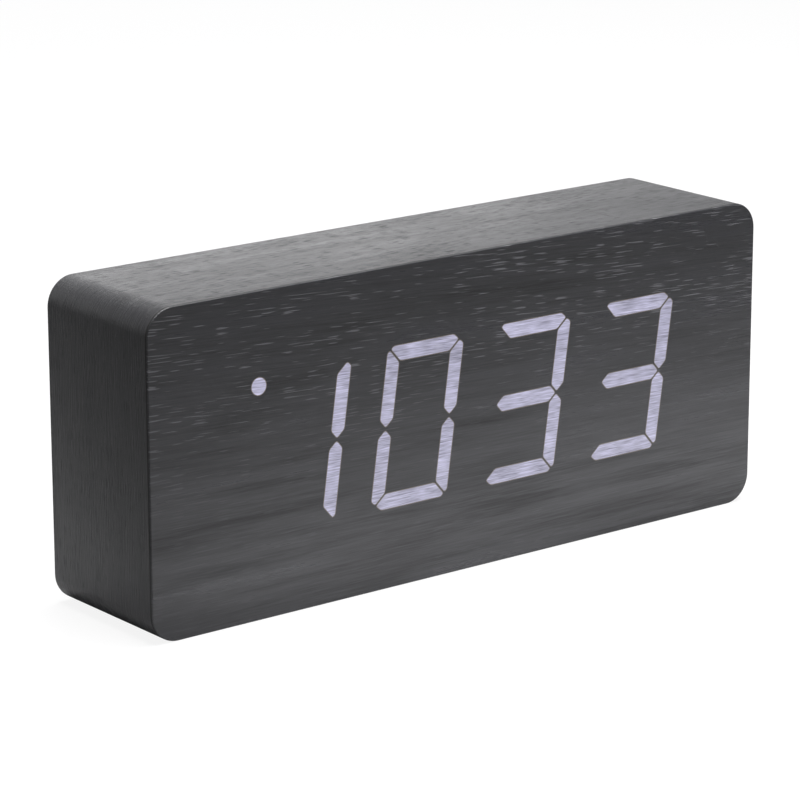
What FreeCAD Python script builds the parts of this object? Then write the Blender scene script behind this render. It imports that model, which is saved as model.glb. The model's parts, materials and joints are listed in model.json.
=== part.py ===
import FreeCAD, Part
import Sketcher
import PartDesign
import Spreadsheet

import os
import re
from math import atan2, cos, pi, sin, tan

# A digital alarm clock in a veneered block: a rounded rectangular case milled right through, a
# front sheet of veneer that a row of seven-segment digits shines through, and a moulded rear cover
# with the battery bay, its tilting door, three push buttons, a slide switch and the power socket.
# Millimetres. X runs across, Y from front to back, Z up. The origin is under the middle of the case.

SIZES = {
    # case
    "width": 210.0,
    "height": 89.0,
    "depth": 46.0,
    "corner_radius": 8.0,
    "wall": 7.0,
    "cavity_radius": 3.0,
    "front_rebate": 3.0,
    "rear_rebate": 2.5,
    "post_side": 11.0,
    "post_merge": 1.0,
    "post_radius": 2.0,
    # layers of the display, from the front
    "veneer_thickness": 0.5,
    "film_thickness": 0.3,
    "frame_plate": 2.0,
    "well_depth": 5.0,
    "rebate_gap": 0.2,
    # seven-segment digits
    "digit_spacing": 38.1,
    "display_shift": 1.0,
    "display_rise": 0.35,
    "segment_span": 21.8,
    "segment_rise": 40.4,
    "stroke": 4.15,
    "segment_gap": 0.65,
    "slant": 0.14,
    "acute_bevel": 1.9,
    "blunt_bevel": 0.9,
    "well_wall": 1.2,
    "eye_skin": 1.2,
    "colon_diameter": 4.4,
    "colon_spacing": 18.0,
    "dot_diameter": 4.6,
    "dot_offset": 14.25,
    "dot_rise": 18.75,
    # display board
    "board_thickness": 1.6,
    "display_board_end_gap": 14.0,
    "display_board_edge_gap": 5.0,
    "display_boss_end_gap": 20.0,
    "display_boss_edge_gap": 9.5,
    "boss_diameter": 6.0,
    "pilot_diameter": 1.9,
    "board_hole_gap": 0.2,
    "led_length": 2.0,
    "led_width": 1.25,
    "led_height": 0.8,
    # small self-tapping screws of the boards
    "small_shank": 1.8,
    "small_head": 3.8,
    "small_head_height": 1.4,
    "small_screw_length": 4.0,
    # rear cover and its corner screws
    "cover_inset": 0.8,
    "cover_thickness": 2.2,
    "cover_gap": 0.3,
    "mould_wall": 1.6,
    "mould_radius": 2.0,
    "sharp_radius": 0.4,
    "screw_shank": 2.5,
    "screw_head": 5.6,
    "screw_head_height": 1.6,
    "screw_length": 12.0,
    "screw_pilot_gap": 0.05,
    "head_sink": 1.0,
    "head_gap": 0.4,
    "rib_thickness": 1.2,
    "rib_height": 4.0,
    # control panel
    "panel_end_gap": 5.0,
    "panel_drop": 3.5,
    "panel_length": 54.0,
    "panel_height": 30.0,
    "panel_sink": 2.0,
    "panel_floor": 1.8,
    "panel_radius": 1.6,
    "panel_gap": 0.1,
    "panel_ledge": 1.5,
    "panel_ledge_depth": 1.2,
    "row_offset": 7.0,
    "button_spacing": 12.0,
    "button_diameter": 6.0,
    "button_gap": 0.2,
    "button_proud": 2.2,
    "button_bevel": 0.5,
    "flange_diameter": 7.8,
    "flange_thickness": 0.8,
    "flange_gap": 0.05,
    "button_travel": 0.5,
    "switch_stack": 5.0,
    "switch_side": 6.0,
    "switch_height": 3.5,
    "stem_diameter": 3.4,
    "stem_gap": 0.15,
    "stem_grip": 1.2,
    "socket_offset": 17.0,
    "socket_hole": 7.0,
    "socket_bore": 3.7,
    "socket_side": 8.0,
    "socket_depth": 8.2,
    "socket_base": 1.2,
    "socket_pin": 1.3,
    "socket_pin_sink": 0.3,
    "knob_length": 2.2,
    "knob_width": 1.6,
    "knob_rise": 1.4,
    "knob_travel": 2.0,
    "knob_gap": 0.25,
    "slider_length": 8.6,
    "slider_width": 3.8,
    "slider_height": 3.4,
    "slider_floor": 1.6,
    "ear_offset": 14.0,
    "ear_diameter": 6.0,
    "ear_height": 5.0,
    "ear_hole": 1.5,
    # control board
    "control_board_length": 52.0,
    "control_board_gap": 0.7,
    "control_boss_inset": 3.2,
    "chip_side": 10.0,
    "chip_height": 1.6,
    "crystal_diameter": 2.0,
    "crystal_length": 6.0,
    "buzzer_diameter": 12.0,
    "buzzer_height": 5.5,
    "buzzer_margin": 0.5,
    "sound_hole": 1.6,
    "sound_spacing": 3.2,
    "sensor_diameter": 2.6,
    "sensor_lead": 0.6,
    "sensor_reach": 4.0,
    "vent_length": 12.0,
    "vent_width": 1.5,
    "vent_spacing": 3.2,
    # battery bay
    "bay_end_gap": 34.5,
    "cell_diameter": 10.5,
    "cell_length": 44.5,
    "cell_spacing": 10.9,
    "cell_bevel": 0.5,
    "cell_clearance": 0.3,
    "cell_cover": 0.5,
    "nub_diameter": 3.8,
    "nub_height": 1.0,
    "bay_margin": 0.4,
    "bay_rim_gap": 0.1,
    "spring_length": 5.7,
    "spring_thickness": 0.4,
    "spring_width": 5.0,
    "spring_rise": 5.0,
    "spring_bend": 0.8,
    "spring_foot": 3.0,
    "contact_thickness": 0.4,
    "contact_side": 7.6,
    "saddle_thickness": 2.0,
    "saddle_height": 3.0,
    "saddle_spacing": 26.0,
    "trough_gap": 0.4,
    # battery door
    "ledge": 2.5,
    "door_thickness": 2.0,
    "door_gap": 0.4,
    "door_radius": 2.0,
    "hinge_gap": 0.6,
    "hinge_bevel": 1.5,
    "tab_width": 7.0,
    "tab_spacing": 28.0,
    "tab_thickness": 1.3,
    "tab_drop": 0.3,
    "tab_reach": 1.8,
    "tab_leg": 1.5,
    "tab_inset": 0.1,
    "slot_gap": 0.5,
    "slot_extra": 0.8,
    "collar_depth": 3.4,
    "collar_wall": 1.5,
    "latch_width": 11.0,
    "latch_strip": 1.0,
    "latch_bow": 3.6,
    "latch_depth": 8.6,
    "latch_gap": 0.5,
    "thumb_length": 2.0,
    "thumb_thickness": 1.0,
    "neck_overlap": 1.2,
    "bow_sink": 0.2,
    "notch_diameter": 13.0,
    "notch_depth": 1.0,
    "grip_count": 3.0,
    "grip_inset": 6.0,
    "grip_spacing": 1.6,
    "grip_height": 0.4,
    "grip_width": 0.7,
    # wiring
    "header_length": 14.0,
    "header_width": 4.0,
    "header_height": 5.0,
    "ribbon_width": 12.0,
    "ribbon_thickness": 0.6,
    "ribbon_step": 8.0,
    "ribbon_bend": 3.0,
    "lead_diameter": 1.2,
    "lead_spacing": 2.4,
    "lead_bend": 4.0,
    "lead_drop": 5.0,
    "lead_inset": 4.0,
    "driver_length": 18.0,
    "driver_width": 7.5,
    "driver_height": 2.3,
}

CELLS = 4
DIGIT_CENTRES = (-1.5, -0.5, 0.5, 1.5)
FIRST_DIGIT = DIGIT_CENTRES[0]

PLACES = {
    "front": "-depth / 2",
    "back": "depth / 2",
    "middle": "height / 2",
    "cavity_length": "width - 2 * wall",
    "cavity_height": "height - 2 * wall",
    # planes across the depth, from the front
    "veneer_back": "front + veneer_thickness",
    "film_back": "veneer_back + film_thickness",
    "plate_back": "film_back + frame_plate",
    "board_front": "plate_back + well_depth",
    "board_back": "board_front + board_thickness",
    "cover_face": "back - cover_inset",
    "cover_seat": "cover_face - cover_thickness",
    "panel_face": "cover_face - panel_sink",
    "panel_inner": "panel_face - panel_floor",
    "flange_top": "panel_inner - flange_gap",
    "flange_under": "flange_top - flange_thickness",
    "control_back": "flange_under - switch_stack",
    "control_front": "control_back - board_thickness",
    "switch_top": "control_back + switch_height",
    "stem_bottom": "switch_top - stem_grip",
    "slider_top": "control_back + slider_height",
    # seats of the layers in the case
    "front_seat_length": "cavity_length + 2 * front_rebate",
    "front_seat_height": "cavity_height + 2 * front_rebate",
    "front_seat_radius": "cavity_radius + front_rebate / 2",
    "rear_seat_length": "cavity_length + 2 * rear_rebate",
    "rear_seat_height": "cavity_height + 2 * rear_rebate",
    "rear_seat_radius": "cavity_radius + rear_rebate / 2",
    "post_x": "(cavity_length - post_side) / 2",
    "post_z": "(cavity_height - post_side) / 2",
    # digits: half sizes and the offsets that part one segment from the next
    "half_span": "segment_span / 2",
    "half_rise": "segment_rise / 2",
    "half_stroke": "stroke / 2",
    "mitre": "segment_gap / sqrt(2)",
    "display_z": "middle + display_rise",
    "display_board_length": "cavity_length - 2 * display_board_end_gap",
    "display_board_height": "cavity_height - 2 * display_board_edge_gap",
    "display_boss_x": "cavity_length / 2 - display_boss_end_gap",
    "display_boss_z": "cavity_height / 2 - display_boss_edge_gap",
    "block_half_span": "half_span + half_stroke + well_wall",
    "block_half_rise": "half_rise + half_stroke + well_wall",
    "eye_half_span": "half_span - half_stroke - well_wall",
    "eye_low": "half_stroke + well_wall",
    "eye_high": "half_rise - half_stroke - well_wall",
    "dot_x": f"display_shift + {FIRST_DIGIT} * digit_spacing - dot_offset",
    "dot_z": "display_z + dot_rise",
    # control panel, seen from the front: it lies at the low X end
    "panel_x": "panel_end_gap + panel_length / 2 - cavity_length / 2",
    "panel_z": "middle - panel_drop",
    "button_z": "panel_z + row_offset",
    "socket_z": "panel_z - row_offset",
    "socket_x": "panel_x - socket_offset",
    "ear_x": "panel_x + ear_offset",
    "knob_low": "panel_x - (knob_length + knob_travel) / 2",
    "control_z": "middle",
    "control_board_height": "cavity_height - 2 * post_side - 2 * control_board_gap",
    "control_boss_x": "control_board_length / 2 - control_boss_inset",
    "control_boss_z": "control_board_height / 2 - control_boss_inset",
    "buzzer_z": "control_z + control_board_height / 2 - buzzer_margin - buzzer_diameter / 2",
    "vent_z": "control_z - control_board_height / 2 - sensor_reach - sensor_diameter / 2",
    # battery bay
    "bay_length": "cell_length + spring_length + 2 * contact_thickness",
    "bay_height": f"{CELLS} * cell_spacing + 2 * bay_margin",
    "bay_shift": "cavity_length / 2 - bay_end_gap - bay_length / 2",
    "bay_left": "bay_shift - bay_length / 2",
    "bay_right": "bay_shift + bay_length / 2",
    "door_inner": "cover_face - door_thickness",
    "cell_axis": "door_inner - cell_cover - cell_diameter / 2",
    "bay_floor": "cell_axis - cell_diameter / 2 - cell_clearance",
    "seat_length": "bay_length + 2 * ledge",
    "seat_height": "bay_height + 2 * ledge",
    "seat_left": "bay_left - ledge",
    "hinge_x": "bay_right + ledge",
    "slot_floor": "cover_seat - tab_drop - tab_thickness - slot_extra",
    "slot_end": "hinge_x + tab_reach + slot_gap",
    "latch_bottom": "cover_face - latch_depth",
    "latch_right": "bay_left - mould_wall - latch_gap",
    "latch_left": "latch_right - latch_bow",
    "thumb_left": "latch_left - thumb_length",
    "latch_pocket_left": "thumb_left - latch_gap",
    "latch_pocket_right": "bay_left - mould_wall",
    "latch_pocket_floor": "latch_bottom - latch_gap",
    # wiring
    "header_x": "panel_x",
    "control_header_z": "control_z - ribbon_step / 2",
    "display_header_z": "control_z - ribbon_step * 3 / 2",
    "lead_end_x": "panel_x + control_board_length / 2 - lead_inset",
    "lead_start_x": "bay_left + lead_inset",
    "lead_start_y": "bay_floor - mould_wall",
    "lead_y": "lead_start_y - lead_drop",
    "lead_z": "middle + cell_spacing * 3 / 2",
}

PAD = "PartDesign::Pad"
POCKET = "PartDesign::Pocket"
TURN_TO_Y = FreeCAD.Rotation(FreeCAD.Vector(1, 0, 0), -90)
SEGMENTS = "abcdefg"
LIT = {1: "bc", 2: "abcdef", 3: "abcdg", 4: "abcdg"}
LED_SHARES = (-0.7, -0.3, 0.3, 0.7)
LEAD_SIDES = 8

doc = FreeCAD.newDocument("clock")
sizes = doc.addObject("Spreadsheet::Sheet", "Sizes")
places = doc.addObject("Spreadsheet::Sheet", "Places")
slate = doc.addObject("Spreadsheet::Sheet", "Slate")
nodes = []


def qualified(formula, home=None):
    """The formula with each size or place written with the name of its sheet, but for those of home."""

    def full_name(match):
        word = match.group(0)
        for sheet, table in (("Sizes", SIZES), ("Places", PLACES)):
            if word in table and sheet != home:
                return f"{sheet}.{word}"
        return word

    return re.sub(r"[a-z][a-z_]*", full_name, formula)


def fill_sheets():
    """Driving dimensions go into Sizes as plain numbers, and what follows from them into Places."""
    for row, (name, size) in enumerate(SIZES.items(), start=1):
        sizes.set(f"A{row}", name)
        sizes.set(f"B{row}", str(size))
        sizes.setAlias(f"B{row}", name)
    for row, (name, formula) in enumerate(PLACES.items(), start=1):
        places.set(f"A{row}", name)
        places.set(f"B{row}", "=" + qualified(formula, home="Places"))
        places.setAlias(f"B{row}", name)
    doc.recompute()


def number(formula):
    """Present value of a formula, worked out on a slate that nothing else depends on."""
    slate.set("A1", "=" + qualified(formula))
    slate.recompute()
    return float(slate.get("A1"))


def bind(thing, name, formula):
    """Tie one property of an object to a formula of the sheets."""
    thing.setExpression(name, qualified(formula))


def add(label, thing):
    """Take an object as a finished sub-part with its own label."""
    thing.Label = label
    nodes.append(thing)
    return thing


# ---------------------------------------------------------------------------------------------
# Outlines for sketches: each function returns one that draws its closed outline, with every
# size and place a named constraint tied to the sheets
# ---------------------------------------------------------------------------------------------


def place_point(sketch, geometry, point, x, y):
    """Hold one point of a sketch at x and y from the sketch's origin."""
    for kind, formula in (("DistanceX", x), ("DistanceY", y)):
        index = sketch.addConstraint(Sketcher.Constraint(kind, -1, 1, geometry, point, number(formula)))
        bind(sketch, f"Constraints[{index}]", formula)


def disc(diameter, x="0", y="0"):
    """Circle of a diameter about (x, y)."""

    def draw(sketch):
        centre = FreeCAD.Vector(number(x), number(y), 0)
        circle = Part.Circle(centre, FreeCAD.Vector(0, 0, 1), number(diameter) / 2)
        geometry = sketch.addGeometry(circle, False)
        place_point(sketch, geometry, 3, x, y)
        index = sketch.addConstraint(Sketcher.Constraint("Diameter", geometry, number(diameter)))
        bind(sketch, f"Constraints[{index}]", diameter)

    return draw


def polygon(*points):
    """Closed outline through points, each a pair of formulas."""

    def draw(sketch):
        corners = [FreeCAD.Vector(number(x), number(y), 0) for x, y in points]
        count = len(points)
        lines = [Part.LineSegment(corners[i], corners[(i + 1) % count]) for i in range(count)]
        geometry = sketch.addGeometry(lines, False)
        for i in range(count):
            following = geometry[(i + 1) % count]
            sketch.addConstraint(Sketcher.Constraint("Coincident", geometry[i], 2, following, 1))
            place_point(sketch, geometry[i], 1, *points[i])

    return draw


def rectangle(left, right, low, high):
    """Plain rectangle between four formulas."""
    return polygon((left, low), (right, low), (right, high), (left, high))


def rounded(across, along, radius, x="0", y="0"):
    """Rectangle about (x, y) whose four corners are arcs of one radius."""

    def draw(sketch):
        half_x, half_y, arc = number(across) / 2, number(along) / 2, number(radius)
        middle = FreeCAD.Vector(number(x), number(y), 0)
        signs = ((1, -1), (1, 1), (-1, 1), (-1, -1))
        centres = [middle + FreeCAD.Vector(i * (half_x - arc), j * (half_y - arc), 0) for i, j in signs]
        arcs = []
        for turn, centre in enumerate(centres):
            circle = Part.Circle(centre, FreeCAD.Vector(0, 0, 1), arc)
            arcs.append(Part.ArcOfCircle(circle, (turn - 1) * pi / 2, turn * pi / 2))
        outline = []
        for turn, curve in enumerate(arcs):
            outline.append(curve)
            outline.append(Part.LineSegment(curve.EndPoint, arcs[(turn + 1) % 4].StartPoint))
        geometry = sketch.addGeometry(outline, False)
        for i in range(8):
            following = geometry[(i + 1) % 8]
            sketch.addConstraint(Sketcher.Constraint("Tangent", geometry[i], 2, following, 1))
        for i in (2, 4, 6):
            sketch.addConstraint(Sketcher.Constraint("Equal", geometry[0], geometry[i]))
        index = sketch.addConstraint(Sketcher.Constraint("Radius", geometry[0], arc))
        bind(sketch, f"Constraints[{index}]", radius)
        for turn, (i, j) in enumerate(signs):
            arc_x = f"({x}) + {i} * (({across}) / 2 - ({radius}))"
            arc_y = f"({y}) + {j} * (({along}) / 2 - ({radius}))"
            place_point(sketch, geometry[2 * turn], 3, arc_x, arc_y)

    return draw


# ---------------------------------------------------------------------------------------------
# Features
# ---------------------------------------------------------------------------------------------


def new_body(label, many=False):
    """Body of a sub-part; many allows a group of separate solids in it."""
    body = doc.addObject("PartDesign::Body", label)
    body.AllowCompound = many
    return add(label, body)


def origin_feature(body, role):
    """Plane or axis of a body's own origin."""
    return next(item for item in body.Origin.OriginFeatures if item.Role == role)


def new_sketch(body, plane, level, outlines):
    """Sketch on one of the body's planes, moved along the plane's normal to a level."""
    sketch = body.newObject("Sketcher::SketchObject", f"{body.Label}_outline")
    sketch.AttachmentSupport = [(origin_feature(body, plane), "")]
    sketch.MapMode = "FlatFace"
    bind(sketch, "AttachmentOffset.Base.z", level)
    for outline in outlines:
        outline(sketch)
    return sketch


def layer(body, kind, start, end, *outlines, plane="XZ_Plane"):
    """Pad or pocket of outlines from the level start to the higher level end of their plane's axis."""
    faces_back = plane == "XZ_Plane"
    level = f"-({start})" if faces_back else start
    sketch = new_sketch(body, plane, level, outlines)
    before = body.Shape.Volume if body.Tip else 0
    feature = body.newObject(kind, f"{body.Label}_{kind.split('::')[1].lower()}")
    feature.Profile = sketch
    feature.Reversed = faces_back == (kind == PAD)
    bind(feature, "Length", f"({end}) - ({start})")
    doc.recompute()
    gained = body.Shape.Volume - before
    if (gained > 0) != (kind == PAD) or gained == 0:
        raise RuntimeError(f"{feature.Label} changes the volume by {gained}")
    return feature


def repeat(body, features, step, count):
    """Repeat features along X, each copy one step on from the last."""
    pattern = body.newObject("PartDesign::LinearPattern", f"{body.Label}_row")
    pattern.Originals = features
    pattern.Direction = (origin_feature(body, "X_Axis"), [""])
    pattern.Mode = "Spacing"
    pattern.Occurrences = count
    bind(pattern, "Offset", step)
    body.Tip = pattern
    doc.recompute()
    return pattern


def bevel(body, size, chosen):
    """Chamfer of one size on every edge of the body that chosen accepts."""
    base = body.Tip
    edges = [f"Edge{i}" for i, edge in enumerate(base.Shape.Edges, start=1) if chosen(edge)]
    feature = body.newObject("PartDesign::Chamfer", f"{body.Label}_bevel")
    feature.Base = (base, edges)
    bind(feature, "Size", size)
    doc.recompute()


def is_circle(edge, radius, axis, level):
    """Whether an edge is a full circle of a radius at a level of an axis (0 for X, 1 for Y)."""
    curve = edge.Curve
    if not isinstance(curve, Part.Circle) or not edge.isClosed():
        return False
    return abs(curve.Radius - radius) < 1e-4 and abs(curve.Center[axis] - level) < 1e-4


def box(label, x, y, z):
    """Block between the pairs of formulas x, y and z."""
    block = doc.addObject("Part::Box", label)
    for size_name, base_name, (low, high) in (("Length", "x", x), ("Width", "y", y), ("Height", "z", z)):
        bind(block, size_name, f"({high}) - ({low})")
        bind(block, f"Placement.Base.{base_name}", low)
    return block


def rod(label, diameter, x, z, start, end):
    """Cylinder along Y about (x, z)."""
    cylinder = doc.addObject("Part::Cylinder", label)
    cylinder.Placement = FreeCAD.Placement(FreeCAD.Vector(), TURN_TO_Y)
    bind(cylinder, "Radius", f"({diameter}) / 2")
    bind(cylinder, "Height", f"({end}) - ({start})")
    bind(cylinder, "Placement.Base.x", x)
    bind(cylinder, "Placement.Base.y", start)
    bind(cylinder, "Placement.Base.z", z)
    return cylinder


def add_shape(label, shape):
    """Sub-part whose shape no feature gives: it reads the sheets once, as it is made."""
    feature = doc.addObject("Part::Feature", label)
    feature.Shape = shape
    return add(label, feature)


def bent_path(points, radius):
    """Wire through points, straight but for an arc of one radius at each corner between two runs."""
    edges = []
    start = points[0]
    for before, corner, after in zip(points, points[1:], points[2:]):
        back = (before - corner).normalize()
        ahead = (after - corner).normalize()
        half_angle = back.getAngle(ahead) / 2
        reach = radius / tan(half_angle)
        enter, leave = corner + back * reach, corner + ahead * reach
        bisector = (back + ahead).normalize()
        centre = corner + bisector * (radius / sin(half_angle))
        edges.append(Part.LineSegment(start, enter).toShape())
        edges.append(Part.Arc(enter, centre - bisector * radius, leave).toShape())
        start = leave
    edges.append(Part.LineSegment(start, points[-1]).toShape())
    return Part.Wire(edges)


def bent_strip(points, radius, width, thickness, across):
    """Flat strip bent along points: its width lies along the direction across, square to the path."""
    path = bent_path(points, radius)
    run = (points[1] - points[0]).normalize()
    side = across * (width / 2)
    skin = run.cross(across) * (thickness / 2)
    corners = [points[0] + i * side + j * skin for i, j in ((-1, -1), (1, -1), (1, 1), (-1, 1))]
    section = Part.makePolygon([*corners, corners[0]])
    return path.makePipeShell([section], True, False)


def end_radius(width):
    """Radius of a nearly half-round end: just short of half the width, so that straight edges stay."""
    return f"({width}) / 2.01"


def around(formula, extent):
    """Pair of formulas at half an extent either side of a place."""
    return f"({formula}) - ({extent}) / 2", f"({formula}) + ({extent}) / 2"


# ---------------------------------------------------------------------------------------------
# Case
# ---------------------------------------------------------------------------------------------

CORNERS = [(i, j) for i in (-1, 1) for j in (-1, 1)]


def post_centre(i, j):
    """Centre of the post in one corner of the cavity."""
    return f"{i} * post_x", f"middle + {j} * post_z"


def make_housing():
    """Rounded case milled through, rebated at both ends, with a screw post in each inner corner."""
    body = new_body("housing")
    layer(body, PAD, "veneer_back", "back", rounded("width", "height", "corner_radius", y="middle"))
    front_seat = rounded("front_seat_length", "front_seat_height", "front_seat_radius", y="middle")
    layer(body, POCKET, "veneer_back", "plate_back", front_seat)
    cavity = rounded("cavity_length", "cavity_height", "cavity_radius", y="middle")
    layer(body, POCKET, "plate_back", "back", cavity)
    rear_seat = rounded("rear_seat_length", "rear_seat_height", "rear_seat_radius", y="middle")
    layer(body, POCKET, "cover_seat", "back", rear_seat)
    posts = []
    for i, j in CORNERS:
        x, z = post_centre(i, j)
        side = "post_side + 2 * post_merge"
        centre = (f"{x} + {i} * post_merge", f"{z} + {j} * post_merge")
        posts.append(rounded(side, side, "post_radius", *centre))
    layer(body, PAD, "plate_back", "cover_seat", *posts)
    pilots = [disc("screw_shank + 2 * screw_pilot_gap", *post_centre(i, j)) for i, j in CORNERS]
    layer(body, POCKET, "cover_seat - screw_length", "cover_seat", *pilots)


def make_front_layers():
    """Front sheet of veneer over the whole face, and the diffusing film behind it."""
    veneer = new_body("front_veneer")
    layer(veneer, PAD, "front", "veneer_back", rounded("width", "height", "corner_radius", y="middle"))
    film = new_body("diffuser_film")
    layer(film, PAD, "veneer_back", "film_back", seat_outline())


def seat_outline():
    """Outline of what sits in the case's front rebate, less its clearance."""
    return rounded(
        "front_seat_length - 2 * rebate_gap",
        "front_seat_height - 2 * rebate_gap",
        "front_seat_radius - rebate_gap",
        y="middle",
    )


# ---------------------------------------------------------------------------------------------
# Seven-segment display
# ---------------------------------------------------------------------------------------------


def slanted(centre, points):
    """Points given from a digit's own centre as a leaning outline on the front."""
    return polygon(*[(f"{centre} + ({u}) + ({v}) * slant", f"display_z + ({v})") for u, v in points])


def bevel_of(side, level):
    """Outer corner's bevel: the leaning digit is acute at top right and bottom left."""
    return "acute_bevel" if side == level else "blunt_bevel"


def bar_points(level):
    """Mitred bar at the top (level 1) or bottom (level -1) of a digit, ends bevelled at the corners."""
    inner = f"{level} * (half_rise - half_stroke)"
    outer = f"{level} * (half_rise + half_stroke)"
    points = []
    for side in (-1, 1):
        bevel = bevel_of(side, level)
        inner_end = (f"{side} * (half_span - half_stroke - mitre)", inner)
        reach = f"(half_stroke - (mitre + {bevel}) / 2)"
        mitre_end = (f"{side} * (half_span + {reach})", f"{level} * (half_rise + {reach} + mitre)")
        outer_end = (f"{side} * (half_span + half_stroke - {bevel})", outer)
        end = [inner_end, mitre_end, outer_end]
        points += end if side < 0 else reversed(end)
    return points


def post_points(side, level):
    """Upright of a digit on one side, above (level 1) or below (level -1) the middle bar."""
    bevel = bevel_of(side, level)
    reach = f"(half_stroke - (mitre + {bevel}) / 2)"
    return [
        (f"{side} * half_span", f"{level} * mitre"),
        (f"{side} * (half_span + half_stroke)", f"{level} * (mitre + half_stroke)"),
        (f"{side} * (half_span + half_stroke)", f"{level} * (half_rise + half_stroke - {bevel})"),
        (f"{side} * (half_span + {reach} + mitre)", f"{level} * (half_rise + {reach})"),
        (f"{side} * (half_span - half_stroke)", f"{level} * (half_rise - half_stroke - mitre)"),
        (f"{side} * (half_span - half_stroke)", f"{level} * (mitre + half_stroke)"),
    ]


def middle_points():
    """Middle bar of a digit, pointed at both ends."""
    return [
        ("-half_span + mitre", "0"),
        ("-half_span + mitre + half_stroke", "half_stroke"),
        ("half_span - mitre - half_stroke", "half_stroke"),
        ("half_span - mitre", "0"),
        ("half_span - mitre - half_stroke", "-half_stroke"),
        ("-half_span + mitre + half_stroke", "-half_stroke"),
    ]


SEGMENT_POINTS = {
    "a": bar_points(1),
    "b": post_points(1, 1),
    "c": post_points(1, -1),
    "d": bar_points(-1),
    "e": post_points(-1, -1),
    "f": post_points(-1, 1),
    "g": middle_points(),
}


def digit_centre(place):
    """X of a digit, counted in pitches from the middle of the display."""
    return f"display_shift + {place} * digit_spacing"


def colon_centres():
    """Centres of the two colon dots, which lean with the digits."""
    rise = "colon_spacing / 2"
    return [(f"display_shift + {j} * {rise} * slant", f"display_z + {j} * {rise}") for j in (-1, 1)]


def box_points(half_x, low, high):
    """Upright box of a digit's own frame, before it leans."""
    return [(f"-({half_x})", low), (half_x, low), (half_x, high), (f"-({half_x})", high)]


def display_bosses():
    """Centres of the six bosses that carry the display board."""
    return [(f"{i} * display_boss_x", f"middle + {j} * display_boss_z") for i in (-1, 0, 1) for j in (-1, 1)]


def make_light_frame():
    """Moulded mask: a plate with a leaning block of mitred light wells behind each digit."""
    body = new_body("light_frame")
    layer(body, PAD, "film_back", "plate_back", seat_outline())
    first = digit_centre(FIRST_DIGIT)
    block = slanted(first, box_points("block_half_span", "-block_half_rise", "block_half_rise"))
    digit_block = layer(body, PAD, "plate_back", "board_front", block)
    repeat(body, [digit_block], "digit_spacing", len(DIGIT_CENTRES))
    dots = [disc("colon_diameter + 2 * well_wall", x, z) for x, z in colon_centres()]
    dots.append(disc("dot_diameter + 2 * well_wall", "dot_x", "dot_z"))
    bosses = [disc("boss_diameter", x, z) for x, z in display_bosses()]
    layer(body, PAD, "plate_back", "board_front", *dots, *bosses)
    wells = [slanted(first, points) for points in SEGMENT_POINTS.values()]
    digit_wells = layer(body, POCKET, "film_back", "board_front", *wells)
    eyes = [
        slanted(first, box_points("eye_half_span", "eye_low", "eye_high")),
        slanted(first, box_points("eye_half_span", "-eye_high", "-eye_low")),
    ]
    digit_eyes = layer(body, POCKET, "film_back + eye_skin", "board_front", *eyes)
    repeat(body, [digit_wells, digit_eyes], "digit_spacing", len(DIGIT_CENTRES))
    holes = [disc("colon_diameter", x, z) for x, z in colon_centres()]
    holes.append(disc("dot_diameter", "dot_x", "dot_z"))
    layer(body, POCKET, "film_back", "board_front", *holes)
    pilots = [disc("pilot_diameter", x, z) for x, z in display_bosses()]
    layer(body, POCKET, "plate_back", "board_front", *pilots)


def make_light_guides():
    """Milky inserts that fill the mask's windows, in groups that are lit or dark at 10:33."""
    for index, place in enumerate(DIGIT_CENTRES, start=1):
        for state in ("lit", "dark"):
            chosen = [name for name in SEGMENTS if (name in LIT[index]) == (state == "lit")]
            body = new_body(f"digit_{index}_{state}_segments", many=True)
            outlines = [slanted(digit_centre(place), SEGMENT_POINTS[name]) for name in chosen]
            layer(body, PAD, "film_back", "plate_back", *outlines)
    colon = new_body("colon_dots", many=True)
    layer(colon, PAD, "film_back", "plate_back", *[disc("colon_diameter", x, z) for x, z in colon_centres()])
    dot = new_body("alarm_dot")
    layer(dot, PAD, "film_back", "plate_back", disc("dot_diameter", "dot_x", "dot_z"))


def led_outlines(centre):
    """Two light-emitting diodes in the line of each segment of a digit."""
    outlines = []
    for level in (-1, 0, 1):
        for side in (-1, 1):
            x = f"{centre} + {side} * half_span / 2 + {level} * half_rise * slant"
            z = f"display_z + {level} * half_rise"
            outlines.append(rectangle(*around(x, "led_length"), *around(z, "led_width")))
    for side in (-1, 1):
        for share in LED_SHARES:
            x = f"{centre} + {side} * half_span + {share} * half_rise * slant"
            z = f"display_z + {share} * half_rise"
            outlines.append(rectangle(*around(x, "led_width"), *around(z, "led_length")))
    return outlines


def make_display_board():
    """Display board with its diodes, driver and screws."""
    rise = "display_board_height / 2"
    board = new_body("display_board")
    span = around("0", "display_board_length")
    layer(board, PAD, "board_front", "board_back", rectangle(*span, f"middle - {rise}", f"middle + {rise}"))
    holes = [disc("small_shank + 2 * board_hole_gap", x, z) for x, z in display_bosses()]
    layer(board, POCKET, "board_front", "board_back", *holes)
    leds = new_body("segment_leds", many=True)
    first = led_outlines(digit_centre(FIRST_DIGIT))
    row = layer(leds, PAD, "board_front - led_height", "board_front", *first)
    repeat(leds, [row], "digit_spacing", len(DIGIT_CENTRES))
    singles = [*colon_centres(), ("dot_x", "dot_z")]
    outlines = [rectangle(*around(x, "led_length"), *around(z, "led_width")) for x, z in singles]
    layer(leds, PAD, "board_front - led_height", "board_front", *outlines)
    make_screws("display_screws", display_bosses(), "board_back", 1)
    driver_y = ("board_back", "board_back + driver_height")
    driver_x, driver_z = around("0", "driver_length"), around("middle", "driver_width")
    add("display_driver", box("display_driver", driver_x, driver_y, driver_z))


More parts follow.
